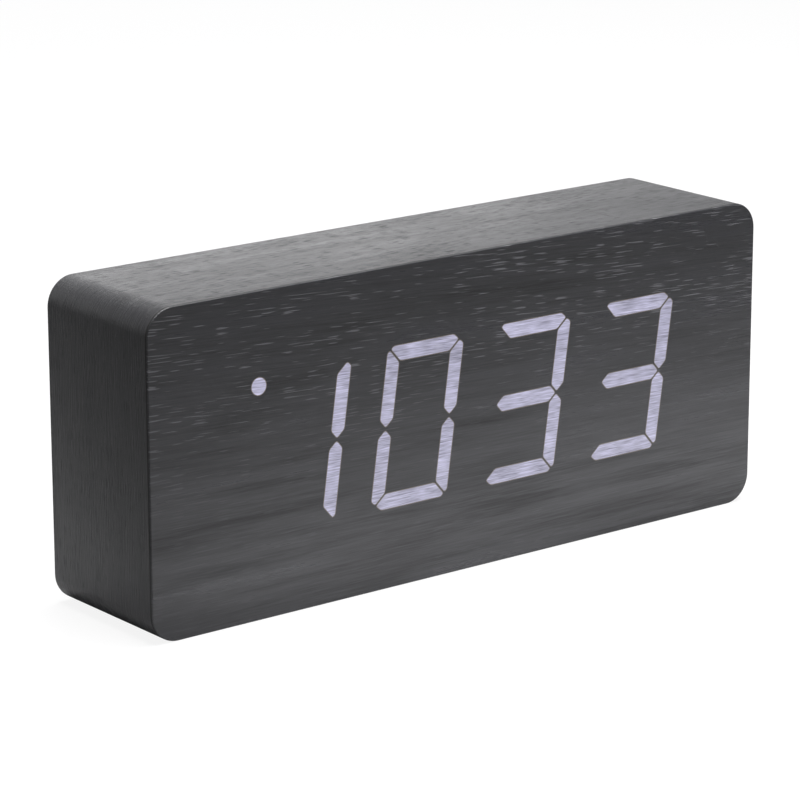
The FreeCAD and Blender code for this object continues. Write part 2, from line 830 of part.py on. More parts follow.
def make_screws(label, centres, seat, way):
    """Small screws whose heads stand on a seat: way 1 has the head towards +Y, -1 towards -Y."""
    body = new_body(label, many=True)
    tip = f"{seat} - {way} * small_screw_length"
    crown = f"{seat} + {way} * small_head_height"
    shank = (tip, seat) if way > 0 else (seat, tip)
    head = (seat, crown) if way > 0 else (crown, seat)
    layer(body, PAD, *shank, *[disc("small_shank", x, z) for x, z in centres])
    layer(body, PAD, *head, *[disc("small_head", x, z) for x, z in centres])


# ---------------------------------------------------------------------------------------------
# Rear cover
# ---------------------------------------------------------------------------------------------


def control_bosses():
    """Centres of the four bosses that carry the control board."""
    return [(f"panel_x + {i} * control_boss_x", f"control_z + {j} * control_boss_z") for i, j in CORNERS]


def button_centres():
    """Centres of the three push buttons, from the outer end of the panel inwards."""
    return [(f"panel_x + {i} * button_spacing", "button_z") for i in (-1, 0, 1)]


def tab_zs():
    """Heights of the door's two hinge tabs."""
    return [f"middle + {j} * tab_spacing / 2" for j in (-1, 1)]


def cell_z(index):
    """Height of a cell's axis, counted from the lowest."""
    return f"middle + ({index} - {(CELLS - 1) / 2}) * cell_spacing"


def sound_centres():
    """A cross of sound holes over the buzzer."""
    steps = ((0, 0), (-1, 0), (1, 0), (0, -1), (0, 1))
    return [(f"panel_x + {i} * sound_spacing", f"buzzer_z + {j} * sound_spacing") for i, j in steps]


def pad_cover_outside(body):
    """Plate of the cover, the tray that holds the control panel, and the bosses of its board."""
    cover = rounded(
        "rear_seat_length - 2 * cover_gap",
        "rear_seat_height - 2 * cover_gap",
        "rear_seat_radius - cover_gap",
        y="middle",
    )
    layer(body, PAD, "cover_seat", "cover_face", cover)
    tray = rounded(
        "panel_length + 2 * mould_wall",
        "panel_height + 2 * mould_wall",
        "panel_radius + mould_wall",
        "panel_x",
        "panel_z",
    )
    layer(body, PAD, "panel_inner - panel_ledge_depth", "cover_seat", tray)
    bosses = [disc("boss_diameter", x, z) for x, z in control_bosses()]
    layer(body, PAD, "control_back", "cover_seat", *bosses)


def pad_cover_ribs(body):
    """Stiffening ribs between the control panel's tray, the battery bay and the cover's ends."""
    panel_edge = "panel_x + panel_length / 2"
    plate_end = "rear_seat_length / 2 - rear_rebate - cover_gap"
    bars = []
    for j in (-1, 1):
        level = around(f"middle + {j} * seat_height / 4", "rib_thickness")
        bars.append(rectangle(panel_edge, "seat_left - collar_wall - bay_rim_gap", *level))
        bars.append(rectangle("slot_end + mould_wall + bay_rim_gap", plate_end, *level))
    layer(body, PAD, "cover_seat - rib_height", "cover_seat", *bars)


def cut_door_window(body):
    """Window that the battery door fills, with the room for its latch and the finger notch."""
    seat = rounded("seat_length", "seat_height", "door_radius", "bay_shift", "middle")
    layer(body, POCKET, "cover_seat", "cover_face", seat)
    latch = around("middle", "latch_width + 2 * latch_gap")
    layer(body, POCKET, "cover_seat", "cover_face", rectangle("latch_pocket_left", "seat_left", *latch))
    notch = disc("notch_diameter", "latch_pocket_left", "middle")
    layer(body, POCKET, "cover_face - notch_depth", "cover_face", notch)


def pad_bay_outside(body):
    """Box round the cells, the collar and rim under the door's edge, and the pods of hinge and latch."""
    walls = "2 * mould_wall"
    bay = rounded(f"bay_length + {walls}", f"bay_height + {walls}", "mould_radius", "bay_shift", "middle")
    layer(body, PAD, "bay_floor - mould_wall", "cover_seat", bay)
    collar = rounded(
        "seat_length + 2 * collar_wall",
        "seat_height + 2 * collar_wall",
        "door_radius + collar_wall",
        "bay_shift",
        "middle",
    )
    layer(body, PAD, "door_inner - collar_depth", "cover_seat", collar)
    rim = rounded(
        "seat_length - 2 * bay_rim_gap",
        "seat_height - 2 * bay_rim_gap",
        "door_radius - bay_rim_gap",
        "bay_shift",
        "middle",
    )
    layer(body, PAD, "cover_seat", "door_inner", rim)
    pod_width = "tab_width + 2 * slot_gap + 2 * mould_wall"
    pods = [rectangle("bay_right", "slot_end + mould_wall", *around(z, pod_width)) for z in tab_zs()]
    layer(body, PAD, "slot_floor - mould_wall", "cover_seat", *pods)
    latch_pod = rectangle(
        "latch_pocket_left - mould_wall",
        "bay_left",
        *around("middle", "latch_width + 2 * latch_gap + 2 * mould_wall"),
    )
    layer(body, PAD, "latch_pocket_floor - mould_wall", "cover_seat", latch_pod)


def cut_battery_bay(body):
    """Room for the cells, the slots that the door's hooks turn in, and the latch's pocket."""
    bay = rounded("bay_length", "bay_height", "sharp_radius", "bay_shift", "middle")
    layer(body, POCKET, "bay_floor", "door_inner", bay)
    widths = [around(z, "tab_width + 2 * slot_gap") for z in tab_zs()]
    throats = [rectangle("bay_right - mould_wall", "hinge_x", *width) for width in widths]
    layer(body, POCKET, "slot_floor", "door_inner", *throats)
    slots = [rectangle("bay_right - mould_wall", "slot_end", *width) for width in widths]
    layer(body, POCKET, "slot_floor", "cover_seat", *slots)
    latch = around("middle", "latch_width + 2 * latch_gap")
    pocket = rectangle("latch_pocket_left", "latch_pocket_right", *latch)
    layer(body, POCKET, "latch_pocket_floor", "door_inner", pocket)


def add_saddles(body):
    """Two scalloped ribs across the floor of the bay, one trough to a cell."""
    saddles = [
        rectangle(
            *around(f"bay_shift + {i} * saddle_spacing / 2", "saddle_thickness"),
            *around("middle", "bay_height + 2 * contact_thickness"),
        )
        for i in (-1, 1)
    ]
    layer(body, PAD, "bay_floor - contact_thickness", "bay_floor + saddle_height", *saddles)
    troughs = [disc("cell_diameter + 2 * trough_gap", "cell_axis", cell_z(i)) for i in range(CELLS)]
    start = "bay_shift - saddle_spacing / 2 - saddle_thickness"
    end = "bay_shift + saddle_spacing / 2 + saddle_thickness"
    layer(body, POCKET, start, end, *troughs, plane="YZ_Plane")


def cut_panel_seat(body):
    """Window of the control panel, with a ledge on its inner side for the panel to sit on."""
    panel = rounded("panel_length", "panel_height", "panel_radius", "panel_x", "panel_z")
    layer(body, POCKET, "panel_inner", "cover_face", panel)
    window = rounded(
        "panel_length - 2 * panel_ledge", "panel_height - 2 * panel_ledge", "panel_radius", "panel_x", "panel_z"
    )
    layer(body, POCKET, "panel_inner - panel_ledge_depth", "panel_inner", window)


def cut_cover_holes(body):
    """Sound holes, vents, pilot holes of the board's bosses and the sunk seats of the corner screws."""
    holes = [disc("sound_hole", x, z) for x, z in sound_centres()]
    vent_levels = [f"vent_z + {j} * vent_spacing / 2" for j in (-1, 1)]
    vent_size = ("vent_length", "vent_width", end_radius("vent_width"))
    vents = [rounded(*vent_size, "panel_x", level) for level in vent_levels]
    posts = [post_centre(i, j) for i, j in CORNERS]
    holes += [disc("screw_shank + head_gap", x, z) for x, z in posts]
    layer(body, POCKET, "cover_seat", "cover_face", *holes, *vents)
    sinks = [disc("screw_head + 2 * head_gap", x, z) for x, z in posts]
    layer(body, POCKET, "cover_face - head_sink", "cover_face", *sinks)
    pilots = [disc("pilot_diameter", x, z) for x, z in control_bosses()]
    layer(body, POCKET, "control_back", "cover_seat", *pilots)


def make_rear_cover():
    """Moulded rear cover, the plate that carries everything on the back of the clock."""
    body = new_body("rear_cover")
    pad_cover_outside(body)
    pad_cover_ribs(body)
    cut_door_window(body)
    cut_panel_seat(body)
    cut_cover_holes(body)


def make_battery_bay():
    """Moulded box behind the cover's window, which holds the cells and the hooks of the door."""
    body = new_body("battery_bay")
    pad_bay_outside(body)
    cut_battery_bay(body)
    add_saddles(body)


def make_control_panel():
    """Sunk panel with the openings for the buttons, the slide knob, the socket and the microphone."""
    body = new_body("control_panel")
    gaps = "2 * panel_gap"
    size = (f"panel_length - {gaps}", f"panel_height - {gaps}", "panel_radius - panel_gap")
    layer(body, PAD, "panel_inner", "panel_face", rounded(*size, "panel_x", "panel_z"))
    openings = [disc("button_diameter + 2 * button_gap", x, z) for x, z in button_centres()]
    openings.append(disc("socket_hole", "socket_x", "socket_z"))
    openings.append(disc("ear_hole", "ear_x", "socket_z"))
    slot = around("panel_x", "knob_length + knob_travel + 2 * knob_gap")
    openings.append(rectangle(*slot, *around("socket_z", "knob_width + 2 * knob_gap")))
    layer(body, POCKET, "panel_inner", "panel_face", *openings)


def make_cover_screws():
    """Bevelled pan-head screws that hold the cover to the posts of the case."""
    body = new_body("cover_screws", many=True)
    posts = [post_centre(i, j) for i, j in CORNERS]
    seat = "cover_face - head_sink"
    layer(body, PAD, f"{seat} - screw_length", seat, *[disc("screw_shank", x, z) for x, z in posts])
    layer(body, PAD, seat, f"{seat} + screw_head_height", *[disc("screw_head", x, z) for x, z in posts])
    crown = number(f"{seat} + screw_head_height")
    radius = number("screw_head") / 2
    bevel(body, "screw_head_height / 2", lambda edge: is_circle(edge, radius, 1, crown))


# ---------------------------------------------------------------------------------------------
# Battery door and cells
# ---------------------------------------------------------------------------------------------


def make_battery_door():
    """Door that tilts on two hooked tabs at its hinge edge and closes with a bowed thumb latch."""
    body = new_body("battery_door")
    left = "seat_left + door_gap"
    right = "hinge_x - hinge_gap"
    low, high = around("middle", "seat_height - 2 * door_gap")
    plate = rounded(
        f"{right} - ({left})",
        f"{high} - ({low})",
        "door_radius - door_gap",
        f"({left} + {right}) / 2",
        "middle",
    )
    layer(body, PAD, "door_inner", "cover_face", plate)
    wedge = polygon(
        (right, "cover_face"),
        (f"{right} + hinge_bevel", "cover_face"),
        (f"{right} + hinge_bevel", "cover_face - 2 * hinge_bevel"),
        (right, "cover_face - hinge_bevel"),
        (f"{right} - hinge_bevel", "cover_face"),
    )
    layer(body, POCKET, low, high, wedge, plane="XY_Plane")
    tab_top = "cover_seat - tab_drop"
    leg_edge = f"{right} - tab_inset"
    legs = [rectangle(f"{leg_edge} - tab_leg", leg_edge, *around(z, "tab_width")) for z in tab_zs()]
    layer(body, PAD, f"{tab_top} - tab_thickness", "door_inner", *legs)
    toe_x = (f"{right} - tab_leg", "hinge_x + tab_reach")
    toes = [rectangle(*toe_x, *around(z, "tab_width")) for z in tab_zs()]
    layer(body, PAD, f"{tab_top} - tab_thickness", tab_top, *toes)
    make_latch(body, left)
    for index in range(round(number("grip_count"))):
        x = around(f"seat_left + grip_inset + {index} * grip_spacing", "grip_width")
        bar = rectangle(*x, *around("middle", "latch_width"))
        layer(body, PAD, "cover_face", "cover_face + grip_height", bar)


def make_latch(body, door_edge):
    """Strip bowed under the door's free edge, with a thumb tab at its outer top end."""
    low, high = around("middle", "latch_width")
    neck = rectangle("latch_right - neck_overlap", f"{door_edge} + neck_overlap", low, high)
    layer(body, PAD, "door_inner", "cover_face", neck)
    centre = "(latch_left + latch_right) / 2"
    top = "cover_face - bow_sink"
    depth, level = f"{top} - latch_bottom", f"({top} + latch_bottom) / 2"
    bow = rounded("latch_bow", depth, end_radius("latch_bow"), centre, level)
    layer(body, PAD, low, high, bow, plane="XY_Plane")
    opening = rounded(
        "latch_bow - 2 * latch_strip",
        depth,
        end_radius("latch_bow - 2 * latch_strip"),
        centre,
        f"{level} + latch_strip",
    )
    layer(body, POCKET, low, high, opening, plane="XY_Plane")
    thumb = rectangle("thumb_left", "latch_left + latch_strip", low, high)
    layer(body, PAD, "cover_face - thumb_thickness", "cover_face", thumb)


def cell_ends(index):
    """X of a cell's two ends, negative end first, and whether its nub points to the right."""
    nub_right = index % 2 == 0
    if nub_right:
        return "bay_right - contact_thickness - cell_length", "bay_right - contact_thickness", True
    return "bay_left + contact_thickness", "bay_left + contact_thickness + cell_length", False


def make_cells():
    """Four generic AAA cells, lying side by side with alternate ends."""
    for index in range(CELLS):
        body = new_body(f"aaa_cell_{index + 1}")
        low, high, nub_right = cell_ends(index)
        can = (low, f"{high} - nub_height") if nub_right else (f"{low} + nub_height", high)
        nub = (f"{high} - nub_height", high) if nub_right else (low, f"{low} + nub_height")
        layer(body, PAD, *can, disc("cell_diameter", "cell_axis", cell_z(index)), plane="YZ_Plane")
        radius = number("cell_diameter") / 2
        levels = [number(end) for end in can]
        bevel(body, "cell_bevel", lambda edge: any(is_circle(edge, radius, 0, level) for level in levels))
        layer(body, PAD, *nub, disc("nub_diameter", "cell_axis", cell_z(index)), plane="YZ_Plane")


def make_contacts():
    """Flat plates at both ends of the bay that join the cells in a row."""
    body = new_body("battery_contacts", many=True)
    groups = {"bay_left": ((0, 0), (1, 2), (3, 3)), "bay_right": ((0, 1), (2, 3))}
    for wall, pairs in groups.items():
        start = wall if wall == "bay_left" else f"{wall} - contact_thickness"
        plates = []
        for first, last in pairs:
            low = f"{cell_z(first)} - contact_side / 2"
            high = f"{cell_z(last)} + contact_side / 2"
            plates.append(rectangle(*around("cell_axis", "contact_side"), low, high))
        layer(body, PAD, start, f"({start}) + contact_thickness", *plates, plane="YZ_Plane")


def make_springs():
    """Leaf springs that press on the flat end of each cell: a foot on the plate, then a bowed strip."""
    thickness, radius = number("spring_thickness"), number("spring_bend")
    reach, rise = number("spring_length"), number("spring_rise") / 2
    across = FreeCAD.Vector(0, 0, 1)
    leaves = []
    for index in range(CELLS):
        points_right = index % 2 == 0
        wall = number("bay_left + contact_thickness" if points_right else "bay_right - contact_thickness")
        way = 1 if points_right else -1
        half_angle = atan2(rise, reach - thickness)
        overshoot = radius / sin(half_angle) - radius
        foot, apex = wall + way * thickness / 2, wall + way * (reach - thickness / 2 + overshoot)
        y, z = number("cell_axis"), number(cell_z(index))
        heel = (foot, y + rise + number("spring_foot"))
        route = [heel, (foot, y + rise), (apex, y), (foot + way * thickness, y - rise)]
        points = [FreeCAD.Vector(u, v, z) for u, v in route]
        leaves.append(bent_strip(points, radius, number("spring_width"), thickness, across))
    add_shape("battery_springs", Part.makeCompound(leaves))


# ---------------------------------------------------------------------------------------------
# Controls
# ---------------------------------------------------------------------------------------------

BUTTONS = ("set", "up", "down")


def make_buttons():
    """Push buttons: a flanged cap that rides on the stem of the switch behind it."""
    for name, (x, z) in zip(BUTTONS, button_centres()):
        cap = new_body(f"{name}_button")
        layer(cap, PAD, "flange_under", "flange_top", disc("flange_diameter", x, z))
        layer(cap, PAD, "flange_top", "panel_face + button_proud", disc("button_diameter", x, z))
        radius = number("button_diameter") / 2
        crown = number("panel_face + button_proud")
        bevel(cap, "button_bevel", lambda edge: is_circle(edge, radius, 1, crown))
        stem = f"{name}_switch_stem"
        add(stem, rod(stem, "stem_diameter", x, z, "stem_bottom", "flange_under"))


def make_switches():
    """Square bodies of the three tactile switches, each with a well for its stem."""
    body = new_body("tact_switches", many=True)
    centres = button_centres()
    cases = [rectangle(*around(x, "switch_side"), *around(z, "switch_side")) for x, z in centres]
    layer(body, PAD, "control_back", "switch_top", *cases)
    wells = [disc("stem_diameter + 2 * stem_gap", x, z) for x, z in centres]
    layer(body, POCKET, "stem_bottom - button_travel - stem_gap", "switch_top", *wells)


def make_slide_switch():
    """Slide switch: a can with a slot, and the knob that travels along it."""
    body = new_body("slide_switch")
    can = rectangle(*around("panel_x", "slider_length"), *around("socket_z", "slider_width"))
    layer(body, PAD, "control_back", "slider_top", can)
    slot = around("panel_x", "knob_length + knob_travel + 2 * knob_gap")
    well = rectangle(*slot, *around("socket_z", "knob_width + 2 * knob_gap"))
    layer(body, POCKET, "control_back + slider_floor", "slider_top", well)
    knob = new_body("sound_slide_knob")
    lever = rectangle("knob_low", "knob_low + knob_length", *around("socket_z", "knob_width"))
    layer(knob, PAD, "control_back + slider_floor", "panel_face + knob_rise", lever)


def make_socket():
    """Barrel socket for the power lead: a block behind the panel's round hole, bored, with a pin."""
    body = new_body("power_socket")
    block = rectangle(*around("socket_x", "socket_side"), *around("socket_z", "socket_side"))
    floor = "panel_inner - socket_depth"
    layer(body, PAD, f"{floor} - socket_base", "panel_inner", block)
    layer(body, POCKET, floor, "panel_inner", disc("socket_bore", "socket_x", "socket_z"))
    tip = "panel_inner - socket_pin_sink"
    add("socket_pin", rod("socket_pin", "socket_pin", "socket_x", "socket_z", floor, tip))


def make_control_board():
    """Control board with what stands on it: sounder, microphone, controller, crystal and sensor."""
    half = "control_board_height / 2"
    body = new_body("control_board")
    span = around("panel_x", "control_board_length")
    board = rectangle(*span, f"control_z - {half}", f"control_z + {half}")
    layer(body, PAD, "control_front", "control_back", board)
    edge = "panel_x - control_board_length / 2"
    notch_x = (f"{edge} - socket_side", "socket_x + socket_side / 2")
    notch = rectangle(*notch_x, *around("socket_z", "socket_side"))
    holes = [disc("small_shank + 2 * board_hole_gap", x, z) for x, z in control_bosses()]
    layer(body, POCKET, "control_front", "control_back", notch, *holes)
    make_screws("control_board_screws", control_bosses(), "control_front", -1)
    top = "control_back + buzzer_height"
    add("buzzer", rod("buzzer", "buzzer_diameter", "panel_x", "buzzer_z", "control_back", top))
    ear = rod("microphone", "ear_diameter", "ear_x", "socket_z", "control_back", "control_back + ear_height")
    add("microphone", ear)
    chip = ("control_front - chip_height", "control_front")
    chip_z = around("control_z + ribbon_step", "chip_side")
    chip_x = around("panel_x + ribbon_step", "chip_side")
    add("controller_chip", box("controller_chip", chip_x, chip, chip_z))
    crystal = new_body("clock_crystal")
    axis_y = "control_front - crystal_diameter / 2"
    can_x = around("panel_x - ribbon_step", "crystal_length")
    can = disc("crystal_diameter", axis_y, "control_z + ribbon_step")
    layer(crystal, PAD, *can_x, can, plane="YZ_Plane")
    make_sensor(f"control_z - {half}")


def make_sensor(board_edge):
    """Temperature bead on two leads below the board, behind the vents."""
    body = new_body("temperature_sensor")
    middle = "(control_front + control_back) / 2"
    bead_z = f"{board_edge} - sensor_reach"
    bead = disc("sensor_diameter", "panel_x", middle)
    layer(body, PAD, f"{bead_z} - sensor_diameter", bead_z, bead, plane="XY_Plane")
    leads = [disc("sensor_lead", f"panel_x + {i} * sensor_lead", middle) for i in (-1, 1)]
    layer(body, PAD, bead_z, board_edge, *leads, plane="XY_Plane")


# ---------------------------------------------------------------------------------------------
# Wiring
# ---------------------------------------------------------------------------------------------


def make_ribbon():
    """Flat cable between the two boards, and the header at each of its ends."""
    x = number("header_x")
    start_y, end_y = number("board_back + header_height"), number("control_front - header_height")
    start_z, end_z = number("display_header_z"), number("control_header_z")
    middle_y = (start_y + end_y) / 2
    route = [(start_y, start_z), (middle_y, start_z), (middle_y, end_z), (end_y, end_z)]
    points = [FreeCAD.Vector(x, y, z) for y, z in route]
    across = FreeCAD.Vector(1, 0, 0)
    bend, width, thickness = number("ribbon_bend"), number("ribbon_width"), number("ribbon_thickness")
    add_shape("ribbon_cable", bent_strip(points, bend, width, thickness, across))
    span = around("header_x", "header_length")
    ends = (
        ("display_header", ("board_back", "board_back + header_height"), "display_header_z"),
        ("control_header", ("control_front - header_height", "control_front"), "control_header_z"),
    )
    for label, depth, level in ends:
        add(label, box(label, span, depth, around(level, "header_width")))


def make_battery_leads():
    """Red and black leads from the underside of the bay to the control board, drawn eight-sided."""
    radius, bend = number("lead_diameter") / 2, number("lead_bend")
    start_x, end_x = number("lead_start_x"), number("lead_end_x")
    start_y, low_y, end_y = number("lead_start_y"), number("lead_y"), number("control_front")
    for sign, colour in ((-1, "red"), (1, "black")):
        z = number(f"lead_z + {sign} * lead_spacing / 2")
        route = [(start_x, start_y), (start_x, low_y), (end_x, low_y), (end_x, end_y)]
        path = bent_path([FreeCAD.Vector(x, y, z) for x, y in route], bend)
        angles = [(turn + 0.5) * 2 * pi / LEAD_SIDES for turn in range(LEAD_SIDES + 1)]
        ring = [FreeCAD.Vector(start_x + radius * cos(a), start_y, z + radius * sin(a)) for a in angles]
        section = Part.makePolygon(ring)
        add_shape(f"battery_lead_{colour}", path.makePipeShell([section], True, False))


# ---------------------------------------------------------------------------------------------
# Document
# ---------------------------------------------------------------------------------------------


def check_and_write():
    """Stop at any object that failed, then write each sub-part's shape to its own file."""
    doc.recompute()
    for thing in doc.Objects:
        if "Invalid" in thing.State or "Error" in thing.State:
            raise RuntimeError(f"{thing.Label} is {thing.State}")
    for node in nodes:
        if node.Shape.isNull() or not node.Shape.isValid() or not node.Shape.Solids:
            raise RuntimeError(f"{node.Label} has no valid solid")
    os.makedirs("parts", exist_ok=True)
    for node in nodes:
        node.Shape.exportStep(f"parts/{node.Label}.step")
        print(f"{node.Label}: {len(node.Shape.Solids)} solids, {node.Shape.Volume:.1f} mm3")


fill_sheets()
make_housing()
make_front_layers()
make_light_frame()
make_light_guides()
make_display_board()
make_rear_cover()
make_battery_bay()
make_control_panel()
make_cover_screws()
make_battery_door()
make_cells()
make_contacts()
make_springs()
make_buttons()
make_switches()
make_slide_switch()
make_socket()
make_control_board()
make_ribbon()
make_battery_leads()
check_and_write()
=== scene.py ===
import json
import math

import bmesh
import bpy
import numpy as np
from mathutils import Matrix, Vector
from mathutils.geometry import delaunay_2d_cdt


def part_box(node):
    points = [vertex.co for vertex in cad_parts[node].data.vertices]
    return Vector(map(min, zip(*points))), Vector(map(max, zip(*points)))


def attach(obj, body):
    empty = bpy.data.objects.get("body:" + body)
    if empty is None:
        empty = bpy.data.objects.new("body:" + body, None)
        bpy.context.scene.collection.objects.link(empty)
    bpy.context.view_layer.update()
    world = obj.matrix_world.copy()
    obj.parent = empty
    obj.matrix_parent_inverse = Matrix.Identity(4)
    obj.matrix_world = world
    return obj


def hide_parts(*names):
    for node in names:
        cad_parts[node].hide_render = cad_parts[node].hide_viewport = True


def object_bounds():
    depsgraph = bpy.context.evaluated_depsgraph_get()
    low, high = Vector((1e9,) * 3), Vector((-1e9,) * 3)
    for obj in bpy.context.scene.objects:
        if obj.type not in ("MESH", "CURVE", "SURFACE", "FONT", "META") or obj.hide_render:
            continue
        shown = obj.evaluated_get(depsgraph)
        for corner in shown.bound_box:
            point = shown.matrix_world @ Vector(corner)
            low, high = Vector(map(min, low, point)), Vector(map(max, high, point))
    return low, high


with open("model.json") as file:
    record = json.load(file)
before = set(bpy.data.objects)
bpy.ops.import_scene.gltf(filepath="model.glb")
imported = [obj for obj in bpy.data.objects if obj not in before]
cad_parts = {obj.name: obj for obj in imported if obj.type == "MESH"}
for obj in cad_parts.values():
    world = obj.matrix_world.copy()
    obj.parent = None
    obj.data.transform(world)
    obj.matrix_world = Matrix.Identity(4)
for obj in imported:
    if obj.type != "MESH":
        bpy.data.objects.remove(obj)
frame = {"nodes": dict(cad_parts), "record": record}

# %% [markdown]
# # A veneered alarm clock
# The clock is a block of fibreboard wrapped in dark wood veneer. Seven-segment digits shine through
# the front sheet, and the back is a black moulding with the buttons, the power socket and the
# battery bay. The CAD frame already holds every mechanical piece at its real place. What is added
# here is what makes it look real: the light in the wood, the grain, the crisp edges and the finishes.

MM = 0.001
nodes = frame["nodes"]
cad_low, cad_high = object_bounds()
size = cad_high - cad_low
print("CAD box in mm:", [round(edge / MM, 2) for edge in size])

# %% [markdown]
# ## The camera
# A small object in a catalogue is taken with a long lens from about a metre, which keeps its edges
# nearly parallel. The three direction vectors below are the camera's own axes, so they become the
# columns of its matrix; Blender's camera looks down its own negative Z.

# %% Camera
LENS = 161.9
camera_at = Vector((-0.59665, -0.74976, 0.30684))
camera_right = Vector((0.78525, -0.61918, -0.00134))
camera_up = Vector((0.16542, 0.20770, 0.96410))
camera_back = Vector((-0.59667, -0.75728, 0.26553))

camera_data = bpy.data.cameras.new("camera")
camera_data.lens = LENS
camera_data.sensor_width = 36
camera_data.clip_start = 0.01
camera_data.clip_end = 20
camera = bpy.data.objects.new("camera", camera_data)
columns = Matrix((camera_right, camera_up, camera_back)).transposed()
camera.matrix_world = Matrix.Translation(camera_at) @ columns.to_4x4()
bpy.context.scene.collection.objects.link(camera)
bpy.context.scene.camera = camera
bpy.context.scene.view_settings.view_transform = "Standard"
print("camera distance in m:", round(camera_at.length, 3))

# %% [markdown]
# ## A short way to write shaders
# Every finish here is a small graph of nodes. Writing `nodes.new` and `links.new` for each would
# bury the idea, so this class adds a node and joins it up in one line. An input may be given a
# plain value, which is set on the socket, or another node's output, which is linked to it.

# %% Graph helper
class Graph:
    """A node tree with one short method for each kind of node that the finishes use."""

    def __init__(self, tree):
        self.tree = tree

    def add(self, kind, inputs=None, **settings):
        """One node of a kind, with its settings and its inputs by name or number."""
        node = self.tree.nodes.new(kind)
        for name, value in settings.items():
            setattr(node, name, value)
        for key, value in (inputs or {}).items():
            self.join(node.inputs[key], value)
        return node

    def join(self, socket, value):
        """Link an output to a socket, or set a plain value on it."""
        if isinstance(value, bpy.types.NodeSocket):
            self.tree.links.new(value, socket)
        else:
            socket.default_value = value

    def math(self, operation, a, b=0.0, c=0.0):
        """One sum: ADD, MULTIPLY, GREATER_THAN and so on."""
        return self.add("ShaderNodeMath", {0: a, 1: b, 2: c}, operation=operation).outputs[0]

    def stretch(self, vector, x, y, z):
        """The vector with each part multiplied by its own number."""
        settings = {0: vector, 1: (x, y, z)}
        return self.add("ShaderNodeVectorMath", settings, operation="MULTIPLY").outputs[0]

    def noise(self, vector, detail=2.0, roughness=0.5, scale=1.0):
        """Smooth noise from about 0.2 to 0.8."""
        inputs = {"Vector": vector, "Scale": scale, "Detail": detail, "Roughness": roughness}
        return self.add("ShaderNodeTexNoise", inputs).outputs["Fac"]

    def remap(self, value, low, high, to_low=0.0, to_high=1.0):
        """Value carried from one range to another along a smooth step, held at both ends."""
        inputs = {"Value": value, "From Min": low, "From Max": high}
        inputs |= {"To Min": to_low, "To Max": to_high}
        node = self.add("ShaderNodeMapRange", inputs, interpolation_type="SMOOTHSTEP")
        return node.outputs["Result"]

    def blend(self, factor, a, b):
        """Colour between a and b."""
        return self.add("ShaderNodeMix", {0: factor, 6: a, 7: b}, data_type="RGBA").outputs[2]

    def place(self):
        """The point being shaded, in the frame's own metres."""
        return self.add("ShaderNodeTexCoord").outputs["Object"]

    def split(self, vector):
        """The x, y and z of a vector."""
        return self.add("ShaderNodeSeparateXYZ", {0: vector}).outputs


def srgb(red, green, blue):
    """Linear colour of screen values 0 to 255: c/12.92 when dark, else ((c+0.055)/1.055)^2.4."""
    screen = np.array((red, green, blue)) / 255
    linear = np.where(screen <= 0.04045, screen / 12.92, ((screen + 0.055) / 1.055) ** 2.4)
    return (*(float(part) for part in linear), 1.0)


print("mid grey is", round(srgb(128, 128, 128)[0], 3))

# %% [markdown]
# ## Node groups
# Several finishes share an effect: the grain, the fine skin of a moulding, the brushing of metal. A
# node group holds each effect once, and each material sets it its own way. A group here gives out
# only numbers that vary over the surface, and the shader itself stays in the material.

# %% Group maker
def new_group(name, takes, gives):
    """Empty shader group with named inputs and their defaults, and named outputs."""
    tree = bpy.data.node_groups.new(name, "ShaderNodeTree")
    for label, value in takes.items():
        kind = "NodeSocketVector" if value is None else "NodeSocketFloat"
        socket = tree.interface.new_socket(name=label, in_out="INPUT", socket_type=kind)
        if value is not None:
            socket.default_value = value
    for label in gives:
        tree.interface.new_socket(name=label, in_out="OUTPUT", socket_type="NodeSocketFloat")
    graph = Graph(tree)
    return graph, graph.add("NodeGroupInput").outputs, graph.add("NodeGroupOutput")


def use_group(graph, name, inputs):
    """A placed group's outputs."""
    node = graph.add("ShaderNodeGroup", node_tree=bpy.data.node_groups[name])
    for key, value in inputs.items():
        graph.join(node.inputs[key], value)
    return node.outputs


# %% [markdown]
# ### Wood grain
# Grain is long in one direction, so each part is noise on a stretched vector: X runs along the
# grain and Z across it. There are four parts. Wide soft bands are the growth rings, bent by a slow
# noise so that they wander. Fine and coarse streaks are the fibres. Pores are short dashes, kept
# where a stretched noise passes an edge. A slow noise moves that edge, so they gather in patches.
# All sit in one group, so the front, the wrap and the lit segments show the same wood. Bands,
# Streaks and Pores set how strong each part is, and Spread lets pores out between the patches.

# %% Grain group
# Repeats in a metre along the grain, into the wood and across the grain.
WANDER, FIBRES, COARSE = (9, 9, 24), (60, 900, 2300), (16, 150, 260)
DASHES, PATCHES = (140, 3000, 3000), (26, 140, 140)
RING_RATE, RING_BEND, RING_TURNS = 42, 9, 2.2
# How much each part counts, and the edge that a dash must pass outside a patch and in it.
RING_TONE, STREAK_TONE, PORE_DEPTH = 0.08, 0.55, 0.8
BARE_EDGE, PATCH_EDGE, EDGE_BLUR = 0.72, 0.60, 0.10

